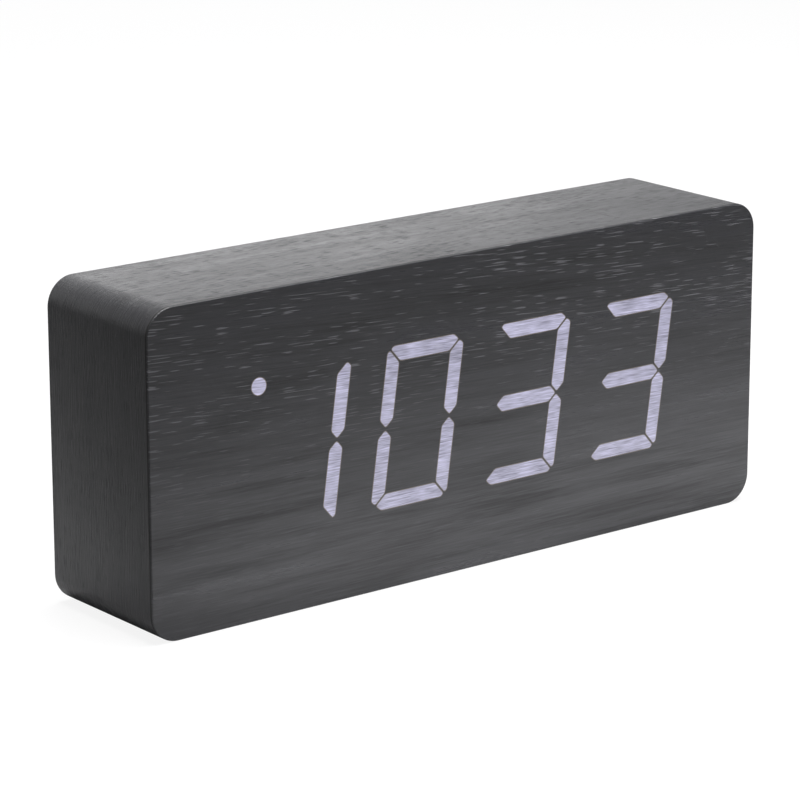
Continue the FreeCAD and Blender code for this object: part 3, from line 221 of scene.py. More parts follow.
graph, taken, given = new_group(
    "wood_grain",
    {"Vector": None, "Bands": 1.0, "Streaks": 1.0, "Pores": 1.0, "Spread": 0.0},
    ("Tone", "Pore", "Height"),
)
vector = taken["Vector"]
wander = graph.noise(graph.stretch(vector, *WANDER), detail=1.0)
level = graph.math("MULTIPLY", graph.split(vector)[2], RING_RATE)
bent = graph.math("ADD", level, graph.math("MULTIPLY", wander, RING_BEND))
rings = graph.math("SINE", graph.math("MULTIPLY", bent, RING_TURNS))
bands = graph.math("MULTIPLY", graph.math("MULTIPLY", rings, RING_TONE), taken["Bands"])
fibres = graph.noise(graph.stretch(vector, *FIBRES), detail=3.0, roughness=0.7)
coarse = graph.noise(graph.stretch(vector, *COARSE), detail=2.0)
both = graph.math("ADD", graph.math("SUBTRACT", fibres, 0.5), graph.math("SUBTRACT", coarse, 0.5))
streaks = graph.math("MULTIPLY", graph.math("MULTIPLY", both, STREAK_TONE), taken["Streaks"])
graph.join(given.inputs["Tone"], graph.math("ADD", bands, streaks))
dashes = graph.noise(graph.stretch(vector, *DASHES), detail=0.0)
patches = graph.noise(graph.stretch(vector, *PATCHES), detail=1.0)
moved = graph.remap(patches, 0.35, 0.7, BARE_EDGE, PATCH_EDGE)
edge = graph.math("SUBTRACT", moved, taken["Spread"])
mask = graph.remap(graph.math("SUBTRACT", dashes, edge), 0.0, EDGE_BLUR)
pore = graph.math("MULTIPLY", mask, taken["Pores"])
graph.join(given.inputs["Pore"], pore)
sunk = graph.math("MULTIPLY", pore, PORE_DEPTH)
graph.join(given.inputs["Height"], graph.math("SUBTRACT", fibres, sunk))
print("grain group has", len(graph.tree.nodes), "nodes")

# %% [markdown]
# ### Moulded skin and brushed metal
# A moulding takes the fine spark-eroded skin of its tool, a matt pebble a few tenths of a
# millimetre wide, and its colour drifts a little. Metal is rolled or turned, which leaves fine
# lines along one direction. Each gives a tone, a change of roughness and a height for a bump.

# %% Skin and brush groups
BRUSH_LINES = (300, 300, 6000)
GIVES = ("Tone", "Rough", "Height")

taking = {"Vector": None, "Grain": 3200.0, "Drift": 1.0}
graph, taken, given = new_group("moulded_skin", taking, GIVES)
pebble = graph.noise(taken["Vector"], detail=2.0, roughness=0.6, scale=taken["Grain"])
drift = graph.noise(taken["Vector"], detail=3.0, roughness=0.55, scale=70.0)
flecks = graph.remap(graph.noise(taken["Vector"], detail=0.0, scale=1400.0), 0.68, 0.76)
slow = graph.math("MULTIPLY", graph.math("SUBTRACT", drift, 0.5), taken["Drift"])
graph.join(given.inputs["Tone"], graph.math("ADD", slow, graph.math("MULTIPLY", flecks, 0.12)))
graph.join(given.inputs["Rough"], graph.math("MULTIPLY", slow, 0.35))
graph.join(given.inputs["Height"], pebble)

graph, taken, given = new_group("brushed", {"Vector": None, "Lines": 1.0}, GIVES)
lines = graph.noise(graph.stretch(taken["Vector"], *BRUSH_LINES), detail=2.0)
stains = graph.noise(taken["Vector"], detail=4.0, roughness=0.65, scale=420.0)
centred = graph.math("SUBTRACT", lines, 0.5)
dulled = graph.math("SUBTRACT", stains, 0.5)
graph.join(given.inputs["Tone"], graph.math("MULTIPLY", dulled, 0.5))
graph.join(given.inputs["Rough"], graph.math("MULTIPLY", dulled, 0.5))
graph.join(given.inputs["Height"], graph.math("MULTIPLY", centred, taken["Lines"]))
print("groups:", [group.name for group in bpy.data.node_groups])

# %% [markdown]
# ## Finishes from the groups
# A finish is one Principled shader whose plain numbers sit on its own sockets. Only what changes
# over the surface comes in by a link: the colour, the roughness and the bump's height.

# %% Material makers
def new_material(name, **plain):
    """Material with one Principled shader; plain holds values for its sockets."""
    material = bpy.data.materials.new(name)
    material.use_nodes = True
    graph = Graph(material.node_tree)
    shader = material.node_tree.nodes["Principled BSDF"]
    for label, value in plain.items():
        shader.inputs[label.replace("_", " ")].default_value = value
    return material, graph, shader


def toned(graph, colour, tone):
    """Colour made lighter or darker by a tone about zero: colour times (1 + tone)."""
    inputs = {0: colour, "Scale": graph.math("ADD", tone, 1.0)}
    return graph.add("ShaderNodeVectorMath", inputs, operation="SCALE").outputs[0]


def bump(graph, shader, height, depth):
    """Join a height to the shader as a bump of a depth in metres."""
    node = graph.add("ShaderNodeBump", {"Height": height, "Distance": depth, "Strength": 1.0})
    graph.join(shader.inputs["Normal"], node.outputs["Normal"])


def finish_from(name, group, colour, roughness, inputs, depth, **plain):
    """Material whose tone, roughness and bump come from one of the groups."""
    material, graph, shader = new_material(name, **plain)
    outputs = use_group(graph, group, {"Vector": graph.place(), **inputs})
    graph.join(shader.inputs["Base Color"], toned(graph, colour[:3], outputs["Tone"]))
    graph.join(shader.inputs["Roughness"], graph.math("ADD", outputs["Rough"], roughness))
    bump(graph, shader, outputs["Height"], depth)
    return material


def moulded(name, colour, roughness, grain=3200.0, drift=0.35, depth=0.00002, **plain):
    """Moulded plastic, resin or rubber."""
    inputs = {"Grain": grain, "Drift": drift}
    return finish_from(name, "moulded_skin", colour, roughness, inputs, depth, **plain)


def metal(name, colour, roughness, lines=1.0, depth=0.000008):
    """Plated, rolled or turned metal."""
    return finish_from(name, "brushed", colour, roughness, {"Lines": lines}, depth, Metallic=1.0)


# %% [markdown]
# ## Veneer
# The veneer is stained nearly black and sealed with a satin lacquer, so it is dark face on and
# bright at a grazing angle. The tone comes from the grain group. The pores of the front hold a pale
# filler, and those of the wrap are open and dark. Next come one maker for any veneer surface and
# two helpers for the front: how its grain leans, and where its pores are.

# %% Veneer makers
FRONT_STAIN, FRONT_PORE = srgb(46, 46, 49), srgb(98, 98, 102)
WRAP_STAIN, WRAP_PORE = srgb(40, 40, 43), srgb(36, 36, 38)
SATIN = 0.40
GRAIN_FALL = 0.055
# Heights in metres.
FEW_BELOW, MOST_ABOVE = 0.030, 0.072


def veneer_surface(graph, shader, vector, stain, hollow, depth=0.00003, **amounts):
    """Colour, roughness and bump of veneer on a grain vector: the stain lightened or darkened by
    the grain's tone, and the hollow's colour in the pores. It gives the grain group's outputs."""
    grain = use_group(graph, "wood_grain", {"Vector": vector, **amounts})
    wood = toned(graph, stain[:3], grain["Tone"])
    graph.join(shader.inputs["Base Color"], graph.blend(grain["Pore"], wood, hollow))
    satin = graph.math("ADD", graph.math("MULTIPLY", grain["Tone"], -0.3), SATIN)
    dull = graph.math("MULTIPLY", grain["Pore"], 0.4)
    graph.join(shader.inputs["Roughness"], graph.math("ADD", satin, dull))
    bump(graph, shader, grain["Height"], depth)
    return grain


def front_vector(graph):
    """Grain vector of the front sheet. The grain runs along X but falls away to the right, more so
    near the top: z' = z + x times a slope that rises from 0 to GRAIN_FALL with the height."""
    x, y, z = graph.split(graph.place())
    fall = graph.math("MULTIPLY", x, graph.remap(z, 0.0, size.z, 0.0, GRAIN_FALL))
    leaning = {0: x, 1: y, 2: graph.math("ADD", z, fall)}
    return graph.add("ShaderNodeCombineXYZ", leaning).outputs[0]


def open_pores(graph):
    """Strength of the pores at a height of the front: most near the top, few below the middle."""
    height = graph.split(graph.place())[2]
    return graph.remap(height, FEW_BELOW, MOST_ABOVE, 0.12, 1.0)


print("the grain falls by", round(math.degrees(math.atan(GRAIN_FALL)), 1), "degrees at the top")

# %% [markdown]
# ### The sheet and the wrap
# The front sheet is the showiest, so its rings and streaks are strong. The wrap reads a UV map that
# follows the strip round the block, so its grain bends over the corners as the real one does. Its
# pores are shorter, and its ends are rubbed smoother than its top.

# %% Sheet and wrap
WRAP_SHORTER, WRAP_STREAKS, WRAP_PORES, WRAP_DEPTH = 1.6, 1.3, 0.55, 0.00012
# Metres from the clock's middle to where the top starts to bend and to where it is steep.
TOP_TO, END_FROM, END_SHARE = 0.097, 0.104, 0.45

front_wood, graph, shader = new_material("front_veneer")
amounts = {"Bands": 2.2, "Streaks": 2.7, "Pores": open_pores(graph)}
veneer_surface(graph, shader, front_vector(graph), FRONT_STAIN, FRONT_PORE, **amounts)

wrap_wood, graph, shader = new_material("wrapped_veneer")
along, over, _ = graph.split(graph.add("ShaderNodeUVMap", uv_map="strip").outputs[0])
strip = graph.add("ShaderNodeCombineXYZ", {0: along, 2: over}).outputs[0]
shorter = graph.stretch(strip, WRAP_SHORTER, 1, 1)
aside = graph.math("ABSOLUTE", graph.split(graph.place())[0])
rubbed = graph.remap(aside, TOP_TO, END_FROM, 1.0, END_SHARE)
streaks = graph.math("MULTIPLY", rubbed, WRAP_STREAKS)
pores = graph.math("MULTIPLY", rubbed, WRAP_PORES)
amounts = {"Bands": 0.3, "Streaks": streaks, "Pores": pores, "Spread": 0.07}
veneer_surface(graph, shader, shorter, WRAP_STAIN, WRAP_PORE, WRAP_DEPTH, **amounts)

# %% [markdown]
# ### Lit veneer
# On a lit segment the same grain also dims the light, because thicker and darker fibres let less of
# it through, and the light is a little uneven from spot to spot. The dot at the left has a lamp to
# itself, so it is a little brighter than the segments. At a segment's rim the light dies away in
# the wood and looks warmer.

# %% Lit materials
GLOW, RIM_GLOW = srgb(162, 160, 183), srgb(100, 91, 83)
THREADS, THREAD_CONTRAST = (130, 1, 2700), 2.5
SPOTS, SPOT_DIM, SPOT_BRIGHT = 170.0, -0.10, 0.12
# Across the clock, in metres: the digits begin right of the first and the dot ends left of the next.
DIGITS_FROM, DOT_TO, DOT_EXTRA = -0.064, -0.066, 0.25

lit_wood, graph, shader = new_material("lit_veneer", Emission_Strength=1.0)
amounts = {"Bands": 0.6, "Streaks": 1.0, "Pores": open_pores(graph)}
grain = veneer_surface(graph, shader, front_vector(graph), FRONT_STAIN, FRONT_PORE, **amounts)
threads = graph.noise(graph.stretch(front_vector(graph), *THREADS), detail=2.0, roughness=0.7)
fine = graph.math("MULTIPLY", graph.math("SUBTRACT", threads, 0.5), THREAD_CONTRAST)
uneven = graph.noise(graph.place(), detail=1.0, scale=SPOTS)
spots = graph.remap(uneven, 0.3, 0.7, SPOT_DIM, SPOT_BRIGHT)
lone = graph.remap(graph.split(graph.place())[0], DIGITS_FROM, DOT_TO, 0.0, DOT_EXTRA)
lamps = graph.math("ADD", spots, lone)
through = graph.math("ADD", graph.math("ADD", grain["Tone"], fine), lamps)
graph.join(shader.inputs["Emission Color"], toned(graph, GLOW[:3], through))

rim_wood, graph, shader = new_material("segment_rim", Emission_Strength=1.0)
shader.inputs["Emission Color"].default_value = RIM_GLOW
amounts = {"Bands": 0.0, "Streaks": 0.6, "Pores": 0.2}
veneer_surface(graph, shader, front_vector(graph), FRONT_STAIN, FRONT_PORE, **amounts)
print("veneer materials:", [wood.name for wood in (front_wood, wrap_wood, lit_wood, rim_wood)])

# %% [markdown]
# ### Seam and core
# Where two veneers meet they are sanded together, which leaves a dark line. Inside, the block is
# fibreboard: pale, matt and speckled.

# %% Seam and core
seam, graph, shader = new_material("dark_seam", Roughness=0.7)
soot = graph.noise(graph.place(), detail=2.0, scale=900.0)
dark = graph.blend(graph.remap(soot, 0.3, 0.7), srgb(12, 12, 12), srgb(22, 21, 20))
graph.join(shader.inputs["Base Color"], dark)

core, graph, shader = new_material("fibreboard", Roughness=0.9)
speckle = graph.noise(graph.place(), detail=4.0, roughness=0.7, scale=900.0)
mixed = graph.blend(graph.remap(speckle, 0.35, 0.65), srgb(150, 122, 88), srgb(186, 160, 122))
graph.join(shader.inputs["Base Color"], mixed)
bump(graph, shader, speckle, 0.00006)
print("inside and edges:", core.name, seam.name)

# %% [markdown]
# ## Outlines and lofts
# The case is a rounded rectangle carried through the depth of the clock. Each cross-section is one
# ring of points, and every ring has the same number of points in the same order, so that joining
# ring to ring with quads makes the whole skin, its rims and its inside.

# %% Ring and loft
def ring(width, height, radius, steps=14):
    """Rounded rectangle about the case's centre, in metres: point = corner centre + radius times
    (cos, sin) of an angle that runs a quarter turn at each corner. It starts at the bottom right."""
    angles = np.linspace(0, math.pi / 2, steps + 1) + np.arange(-1, 3)[:, None] * math.pi / 2
    side_x = np.array([1, 1, -1, -1])[:, None]
    side_z = np.array([-1, 1, 1, -1])[:, None]
    x = side_x * (width / 2 - radius) + radius * np.cos(angles)
    z = side_z * (height / 2 - radius) + radius * np.sin(angles)
    return np.stack((x.ravel(), z.ravel() + size.z / 2 / MM), axis=1) * MM


def grid_faces(rows, columns, closed_rows=False):
    """Quads that join each point of a grid to the next along and the next row, round and round."""
    last = rows if closed_rows else rows - 1
    row, column = np.meshgrid(np.arange(last), np.arange(columns), indexing="ij")
    beside, below = (column + 1) % columns, (row + 1) % rows
    corners = (row * columns + column, row * columns + beside, below * columns + beside)
    return np.stack((*corners, below * columns + column), axis=-1).reshape(-1, 4)


def stack_rings(rings):
    """Points of rings given as (outline, depth): x and z from the outline, y from the depth."""
    layers = [np.insert(outline, 1, depth * MM, axis=1) for outline, depth in rings]
    return np.concatenate(layers)


def make_piece(name, points, faces, materials, body="case"):
    """Mesh object from arrays, at the origin, riding on a body."""
    mesh = bpy.data.meshes.new(name)
    mesh.from_pydata(points.tolist(), [], [list(face) for face in faces])
    for material in materials:
        mesh.materials.append(material)
    piece = bpy.data.objects.new(name, mesh)
    bpy.context.scene.collection.objects.link(piece)
    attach(piece, body)
    return piece


def turn_outwards(piece):
    """Merge doubled points, then make every face point away from the solid."""
    shape = bmesh.new()
    shape.from_mesh(piece.data)
    bmesh.ops.remove_doubles(shape, verts=shape.verts, dist=1e-7)
    bmesh.ops.recalc_face_normals(shape, faces=shape.faces)
    loose = sum(1 for edge in shape.edges if len(edge.link_faces) != 2)
    shape.to_mesh(piece.data)
    shape.free()
    print(piece.name, len(piece.data.polygons), "faces, open edges:", loose)


# %% [markdown]
# ## The wrapped case
# The real case is a strip of veneer bent round the block, so the grain follows the strip: along the
# top, round each corner and down the ends. A UV map measures that strip directly, in metres. U is
# the distance travelled round the outline, and V is the distance from the front edge across the
# strip and over onto the back rim. The join lies underneath, where the strip's ends really meet.
# Next to the front sheet a hair of the wrap is dark, because the two veneers are sanded there.
# Inside, the block is milled out. It is wider at the back, where the cover sits on a ledge, and
# wider behind the sheet, where the light mask lies.

# %% Case outlines
# In mm. A seat is a depth, and a gap says how far the milling goes past the cavity's own outline.
WIDTH, HEIGHT = size.x / MM, size.z / MM
WALL, CORNER = 7.0, 8.0
FRONT, SHEET_BACK, BACK = -23.0, -22.5, 23.0
EASE, SEAM = 0.35, 0.4
COVER_GAP, COVER_SEAT, COVER_CORNER = 2.5, 20.0, 4.25
MASK_GAP, MASK_SEAT, MASK_CORNER = 3.0, -20.2, 4.5
CAVITY_CORNER = 3.0


def eased(inset):
    """Outer outline drawn in by a small distance, for a softened edge."""
    return ring(WIDTH - 2 * inset, HEIGHT - 2 * inset, CORNER - inset)


def milled(gap, radius):
    """Outline of the cavity, let out by a gap on every side."""
    return ring(WIDTH - 2 * (WALL - gap), HEIGHT - 2 * (WALL - gap), radius)


turns = np.linspace(0, math.pi / 2, 4)
rings = [(eased(0.0), SHEET_BACK), (eased(0.0), SHEET_BACK + SEAM)]
rings += [(eased(EASE * (1 - math.cos(t))), BACK - EASE + EASE * math.sin(t)) for t in turns]
rings += [
    (milled(COVER_GAP, COVER_CORNER), BACK),
    (milled(COVER_GAP, COVER_CORNER), COVER_SEAT),
    (milled(0.0, CAVITY_CORNER), COVER_SEAT),
    (milled(0.0, CAVITY_CORNER), MASK_SEAT),
    (milled(MASK_GAP, MASK_CORNER), MASK_SEAT),
    (milled(MASK_GAP, MASK_CORNER), SHEET_BACK),
]
columns = len(rings[0][0])
print(len(rings), "rings of", columns, "points")

# %% Case mesh and its strip
skins = [wrap_wood, core, seam]
faces = grid_faces(len(rings), columns, closed_rows=True)
case = make_piece("veneered_case", stack_rings(rings), faces, skins)
travel = np.linalg.norm(np.roll(rings[0][0], -1, axis=0) - rings[0][0], axis=1)
along = np.concatenate(([0.0], np.cumsum(travel)))
row, column = np.divmod(np.arange(len(case.data.polygons)), columns)
depths = np.array([depth * MM for _, depth in rings])
tops = np.array([outline[:, 1].max() for outline, _ in rings])
across = np.concatenate(([0.0], np.cumsum(np.hypot(np.diff(depths), np.diff(tops)))))
below = (row + 1) % len(rings)
u = np.stack((along[column], along[column + 1], along[column + 1], along[column]), axis=1)
v = np.stack((across[row], across[row], across[below], across[below]), axis=1)
uv_map = case.data.uv_layers.new(name="strip")
uv_map.data.foreach_set("uv", np.stack((u, v), axis=-1).ravel().astype(np.float32))
skin_rows = 2 + len(turns)
kinds = np.select([row == 0, row < skin_rows], [2, 0], 1)
case.data.polygons.foreach_set("material_index", kinds.astype(np.int32))
turn_outwards(case)
case.data.polygons.foreach_set("use_smooth", np.ones(len(case.data.polygons), bool))
case.data.set_sharp_from_angle(angle=math.radians(35))
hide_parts("housing")
print("the strip is", round(float(along[-1]) / MM, 1), "mm long")

# %% [markdown]
# ### Screw posts
# Inside each corner stands a post that takes a cover screw. They are part of the same milled block,
# but nothing shows them, so they are a separate plain piece: a rounded square carried from the
# mask's seat to the cover, with the pilot hole sunk into its end. Four posts, and later four
# screws, are built one by one and gathered into one mesh.

# %% Posts
# In mm, from the middle of the back to the middle of a screw and of its post.
SCREW_X, SCREW_Z = 92.5, 32.0
POST_X, POST_Z, POST_SIDE, POST_CORNER = 93.5, 33.0, 13.0, 2.0
PILOT_RADIUS, PILOT_FLOOR = 1.3, 8.0


def in_four_corners(block_at):
    """Points and faces of a block made in each corner, as one mesh: the numbers in a block's faces
    move on by the count of the points before it."""
    points, faces, start = [], [], 0
    for side_x in (-1, 1):
        for side_z in (-1, 1):
            block, block_faces = block_at(side_x, side_z)
            points.append(block)
            faces += [[index + start for index in face] for face in block_faces]
            start += len(block)
    return np.concatenate(points), faces


def corner_post(side_x, side_z):
    """Points and faces of one post: outer ring, end ring, hole ring and the hole's floor. The first
    and the last ring are each closed by one face."""
    outer = ring(POST_SIDE, POST_SIDE, POST_CORNER, steps=3)
    outer += np.array((side_x * POST_X, side_z * POST_Z)) * MM
    count = len(outer)
    angles = np.linspace(-math.pi / 2, 1.5 * math.pi, count, endpoint=False)
    hole = np.stack((np.cos(angles), np.sin(angles)), axis=1) * PILOT_RADIUS * MM
    hole += np.array((side_x * SCREW_X, side_z * SCREW_Z + HEIGHT / 2)) * MM
    rings = [(outer, MASK_SEAT), (outer, COVER_SEAT), (hole, COVER_SEAT), (hole, PILOT_FLOOR)]
    faces = grid_faces(len(rings), count).tolist()
    faces += [list(range(count)), list(range(3 * count, 4 * count))]
    return stack_rings(rings), faces


posts = make_piece("case_posts", *in_four_corners(corner_post), [core])
turn_outwards(posts)
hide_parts("housing")

# %% [markdown]
# ## The front sheet and its light
# The digits have no windows. Light from the wells behind shines through half a millimetre of
# veneer, so a segment is a crisp shape in a surface that stays flat and keeps its grain. A texture
# would blur at its edges. Instead each segment's outline is cut into the face itself, by a
# triangulation that keeps given edges, and the triangles inside it get the lit material. A digit's
# segments meet in mitres, its outer corners are bevelled, and it leans to the right.

# %% Segment sizes
# From a digit's middle to the middle of its strokes, and half of a stroke, in mm.
HALF_SPAN, HALF_RISE, HALF_STROKE = 10.9, 20.2, 2.075
# The gap between two segments. Half of it lies on each side of the mitre, which moves that side's
# slanted line by MITRE along an axis.
SEGMENT_GAP = 0.65
MITRE = SEGMENT_GAP / math.sqrt(2)
# The lean, the step from digit to digit, and the middle of the row.
SLANT, PITCH, SHIFT, LEVEL = 0.14, 38.1, 1.0, 44.85
# A bevel's run along the bar and down the upright.
ACUTE, BLUNT = (3.6, 2.8), (1.9, 1.8)
OUTER, TOP = HALF_SPAN + HALF_STROKE, HALF_RISE + HALF_STROKE
DOT_X, DOT_Z, DOT_RADIUS = -70.4, 63.6, 2.3
print("a digit is", round(2 * OUTER, 2), "mm wide and", round(2 * TOP, 2), "mm high")


# %% Segment outlines
def bevel(side, level):
    """How far a corner's bevel runs along the bar and down the upright: the leaning digit is acute
    at its top right and bottom left."""
    return ACUTE if side == level else BLUNT


def mitre_tip(cut, offset):
    """Where a corner's bevel meets the mitre line z - x = rise - span + offset. The bevel's points
    are (OUTER - a + a t, TOP - b t), and putting them in the line gives t = (a - offset)/(a + b)."""
    along, down = cut
    t = (along - offset) / (along + down)
    return OUTER - along + along * t, TOP - down * t


def bar(level):
    """Top (level 1) or bottom (level -1) bar, mitred at its ends and bevelled at the corners."""
    ends = []
    for side in (-1, 1):
        cut = bevel(side, level)
        end = [
            (HALF_SPAN - HALF_STROKE - MITRE, HALF_RISE - HALF_STROKE),
            mitre_tip(cut, MITRE),
            (OUTER - cut[0], TOP),
        ]
        ends += end if side < 0 else [(-x, z) for x, z in reversed(end)]
    return np.array(ends) * (-1, level)


def upright(side, level):
    """Upright on one side, above (level 1) or below (level -1) the middle bar."""
    cut = bevel(side, level)
    inner = HALF_SPAN - HALF_STROKE
    points = [
        (HALF_SPAN, MITRE),
        (OUTER, MITRE + HALF_STROKE),
        (OUTER, TOP - cut[1]),
        mitre_tip(cut, -MITRE),
        (inner, HALF_RISE - HALF_STROKE - MITRE),
        (inner, MITRE + HALF_STROKE),
    ]
    return np.array(points) * (side, level)


def middle_bar():
    """Middle bar, pointed at both ends."""
    tip, shoulder = HALF_SPAN - MITRE, HALF_SPAN - MITRE - HALF_STROKE
    right = [(shoulder, -HALF_STROKE), (tip, 0), (shoulder, HALF_STROKE)]
    left = [(-x, z) for x, z in reversed(right)]
    return np.array(right + left)


SEGMENTS = {
    "a": bar(1),
    "b": upright(1, 1),
    "c": upright(1, -1),
    "d": bar(-1),
    "e": upright(-1, -1),
    "f": upright(-1, 1),
    "g": middle_bar(),
}
SHOWN = {-1.5: "bc", -0.5: "abcdef", 0.5: "abcdg", 1.5: "abcdg"}
print("segments in the digits:", [len(letters) for letters in SHOWN.values()])


# %% Outline helpers
def counterclockwise(outline):
    """The outline, reversed if its signed area (half the sum of x z' - x' z) is negative."""
    x, z = outline.T
    area = np.sum(x * np.roll(z, -1) - np.roll(x, -1) * z)
    return outline if area > 0 else outline[::-1]


def drawn_in(outline, distance):
    """A convex outline with each side moved inwards: a corner moves along the sum of its two sides'
    inward normals, divided by one plus their dot product."""
    ahead = np.roll(outline, -1, axis=0) - outline
    ahead /= np.linalg.norm(ahead, axis=1)[:, None]
    inward = np.stack((-ahead[:, 1], ahead[:, 0]), axis=1)
    before = np.roll(inward, 1, axis=0)
    share = 1 + np.sum(inward * before, axis=1)[:, None]
    return outline + (inward + before) / share * distance


def softened(outline, reach=0.55):
    """A convex outline with each corner c bent: a start p and an end q lie on its two sides, within
    the reach and a third of the side, and between them is the curve's middle (p + 2c + q)/4."""
    before, ahead = np.roll(outline, 1, axis=0) - outline, np.roll(outline, -1, axis=0) - outline
    steps = []
    for side in (before, ahead):
        length = np.linalg.norm(side, axis=1)[:, None]
        steps.append(outline + side * np.minimum(reach / length, 1 / 3))
    middle = (steps[0] + 2 * outline + steps[1]) / 4
    return np.stack((steps[0], middle, steps[1]), axis=1).reshape(-1, 2)


outlines = []
for place, letters in SHOWN.items():
    for letter in letters:
        u, v = SEGMENTS[letter].T
        x = SHIFT + place * PITCH + u + v * SLANT
        outlines.append(softened(counterclockwise(np.stack((x, LEVEL + v), axis=1))))
turn = np.linspace(0, 2 * math.pi, 40, endpoint=False)
dot = np.stack((DOT_X + DOT_RADIUS * np.cos(turn), DOT_Z + DOT_RADIUS * np.sin(turn)), axis=1)
outlines.append(dot)
print(len(outlines), "lit shapes")

# %% [markdown]
# ### Cutting them into the sheet
# Each shape goes in twice: the segment itself, and the same outline let out by a fifth of a
# millimetre. The narrow ring between them is where the light dies away into the wood. The
# triangulation says which outlines own each triangle. Outline 0 is the sheet's edge, an odd one is
# a rim and the even one after it is the shape inside, so the last owner names the material.

# %% Cut face
RIM = 0.22
sheet_rings = [(eased(EASE * (1 - math.sin(t))), FRONT + EASE * (1 - math.cos(t))) for t in turns]
sheet_rings.append((eased(0.0), SHEET_BACK))
face_edge = sheet_rings[0][0] / MM
loops = [face_edge]
for outline in outlines:
    loops += [drawn_in(outline, -RIM), outline]
flat = np.concatenate(loops)
starts = np.cumsum([0] + [len(loop) for loop in loops[:-1]])
cut_faces = [list(range(start, start + len(loop))) for start, loop in zip(starts, loops)]
cut = delaunay_2d_cdt([Vector(point) for point in flat.tolist()], [], cut_faces, 1, 1e-5)
cut_points, triangles = np.array(cut[0]), cut[2]
owner = np.array([max(owners) for owners in cut[5]])
face_kinds = np.select([owner == 0, owner % 2 == 1], [0, 2], 1)
print(len(triangles), "triangles in the cut face")

# %% Front sheet
plane = np.insert(cut_points * MM, 1, FRONT * MM, axis=1)
columns = len(face_edge)
side_faces = grid_faces(len(sheet_rings), columns) + len(plane)
back_face = [len(plane) + (len(sheet_rings) - 1) * columns + i for i in range(columns)]
faces = [list(face) for face in triangles] + side_faces.tolist() + [back_face]
points = np.concatenate((plane, stack_rings(sheet_rings)))
sheet = make_piece("front_sheet", points, faces, [front_wood, lit_wood, rim_wood, seam])
eased_faces = columns * (len(sheet_rings) - 2)
edge_kinds = [0] * eased_faces + [3] * (len(side_faces) - eased_faces + 1)
indices = np.concatenate((face_kinds, edge_kinds)).astype(np.int32)
sheet.data.polygons.foreach_set("material_index", indices)
turn_outwards(sheet)
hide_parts("front_veneer")
print("faces in wood, lit wood, rim and seam:", np.bincount(indices).tolist())

# %% [markdown]
# ## Cover screws
# A pan head with a cross recess is a surface over polar coordinates: the height falls away from the
# centre as a shallow dome, and drops to the recess's floor inside either arm of the cross.

# Under the head, rings of the same angles make its flat underside, the shank and the blunt tip.

# %% Screws
# Radius and height of the head, radii of the shank and the tip, then their depths, all in mm.
HEAD, HEAD_HEIGHT, SHANK, POINT = 2.8, 1.6, 1.25, 0.2
SEAT, TAPER, TIP = 21.2, 10.2, 9.2


def cross_head(radius, height, arm=0.42, reach=1.55, sink=0.9, rows=26, around=64):
    """Height over (r, angle): dome = height * (1 - 0.35 (r/radius)^4), less the sink where the
    point is within the arm's half width of either axis and within its reach."""
    r = np.linspace(0, radius, rows)[:, None]
    angle = np.linspace(0, 2 * math.pi, around, endpoint=False)[None, :]
    x, z = r * np.cos(angle), r * np.sin(angle)
    dome = height * (1 - 0.35 * (r / radius) ** 4) + 0 * angle
    nearest = np.minimum(np.abs(x), np.abs(z))
    inside = (nearest < arm) & (np.maximum(np.abs(x), np.abs(z)) < reach)
    return x, z, dome - sink * inside


def screw(side_x, side_z):
    """Points and faces of one screw: the head's grid, then a ring at each radius and depth."""
    x, z, top = cross_head(HEAD, HEAD_HEIGHT)
    cos, sin = x[-1] / HEAD, z[-1] / HEAD
    levels = np.array(((HEAD, SEAT), (SHANK, SEAT), (SHANK, TAPER), (POINT, TIP)))
    radius, depth = levels[:, :1], levels[:, 1:]
    x, z = np.concatenate((x, radius * cos)), np.concatenate((z, radius * sin))
    y = np.concatenate((SEAT + top, depth + 0 * cos))
    points = np.stack((side_x * SCREW_X + x, y, HEIGHT / 2 + side_z * SCREW_Z + z), axis=-1)
    rows, count = x.shape
    faces = grid_faces(rows, count).tolist()
    faces.append(list(range((rows - 1) * count, rows * count)))
    return points.reshape(-1, 3) * MM, faces


black_steel = moulded("blackened_steel", srgb(40, 40, 41), 0.38, grain=5200.0, Metallic=0.85)
screws = make_piece("cross_screws", *in_four_corners(screw), [black_steel])
turn_outwards(screws)
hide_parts("cover_screws")

# %% [markdown]
# ## Everything else keeps its CAD shape
# The mouldings, buttons, boards, cells and springs are already right, so they only need their
# finish. A table names the finish of each material slot of the record, and one loop hands them out.

# The circuit board and the cells have patterns of their own, so they come first.

# %% Board and cells
JACKET_BAND, JACKET_SLEEVE, JACKET_CAN = srgb(28, 62, 96), srgb(44, 46, 50), srgb(190, 190, 192)
# Metres from a cell's middle.
BAND_END, SLEEVE_END = 0.0105, 0.0209

board, graph, shader = new_material("green_board", Roughness=0.42)
bricks = {"Vector": graph.place(), "Scale": 260.0, "Mortar Size": 0.03}
traces = graph.add("ShaderNodeTexBrick", bricks).outputs["Fac"]
mask = graph.noise(graph.place(), detail=3.0, scale=320.0)
green = graph.blend(graph.remap(traces, 0.2, 0.8), srgb(16, 74, 44), srgb(30, 104, 64))
graph.join(shader.inputs["Base Color"], toned(graph, green, graph.math("SUBTRACT", mask, 0.5)))
bump(graph, shader, traces, 0.00002)


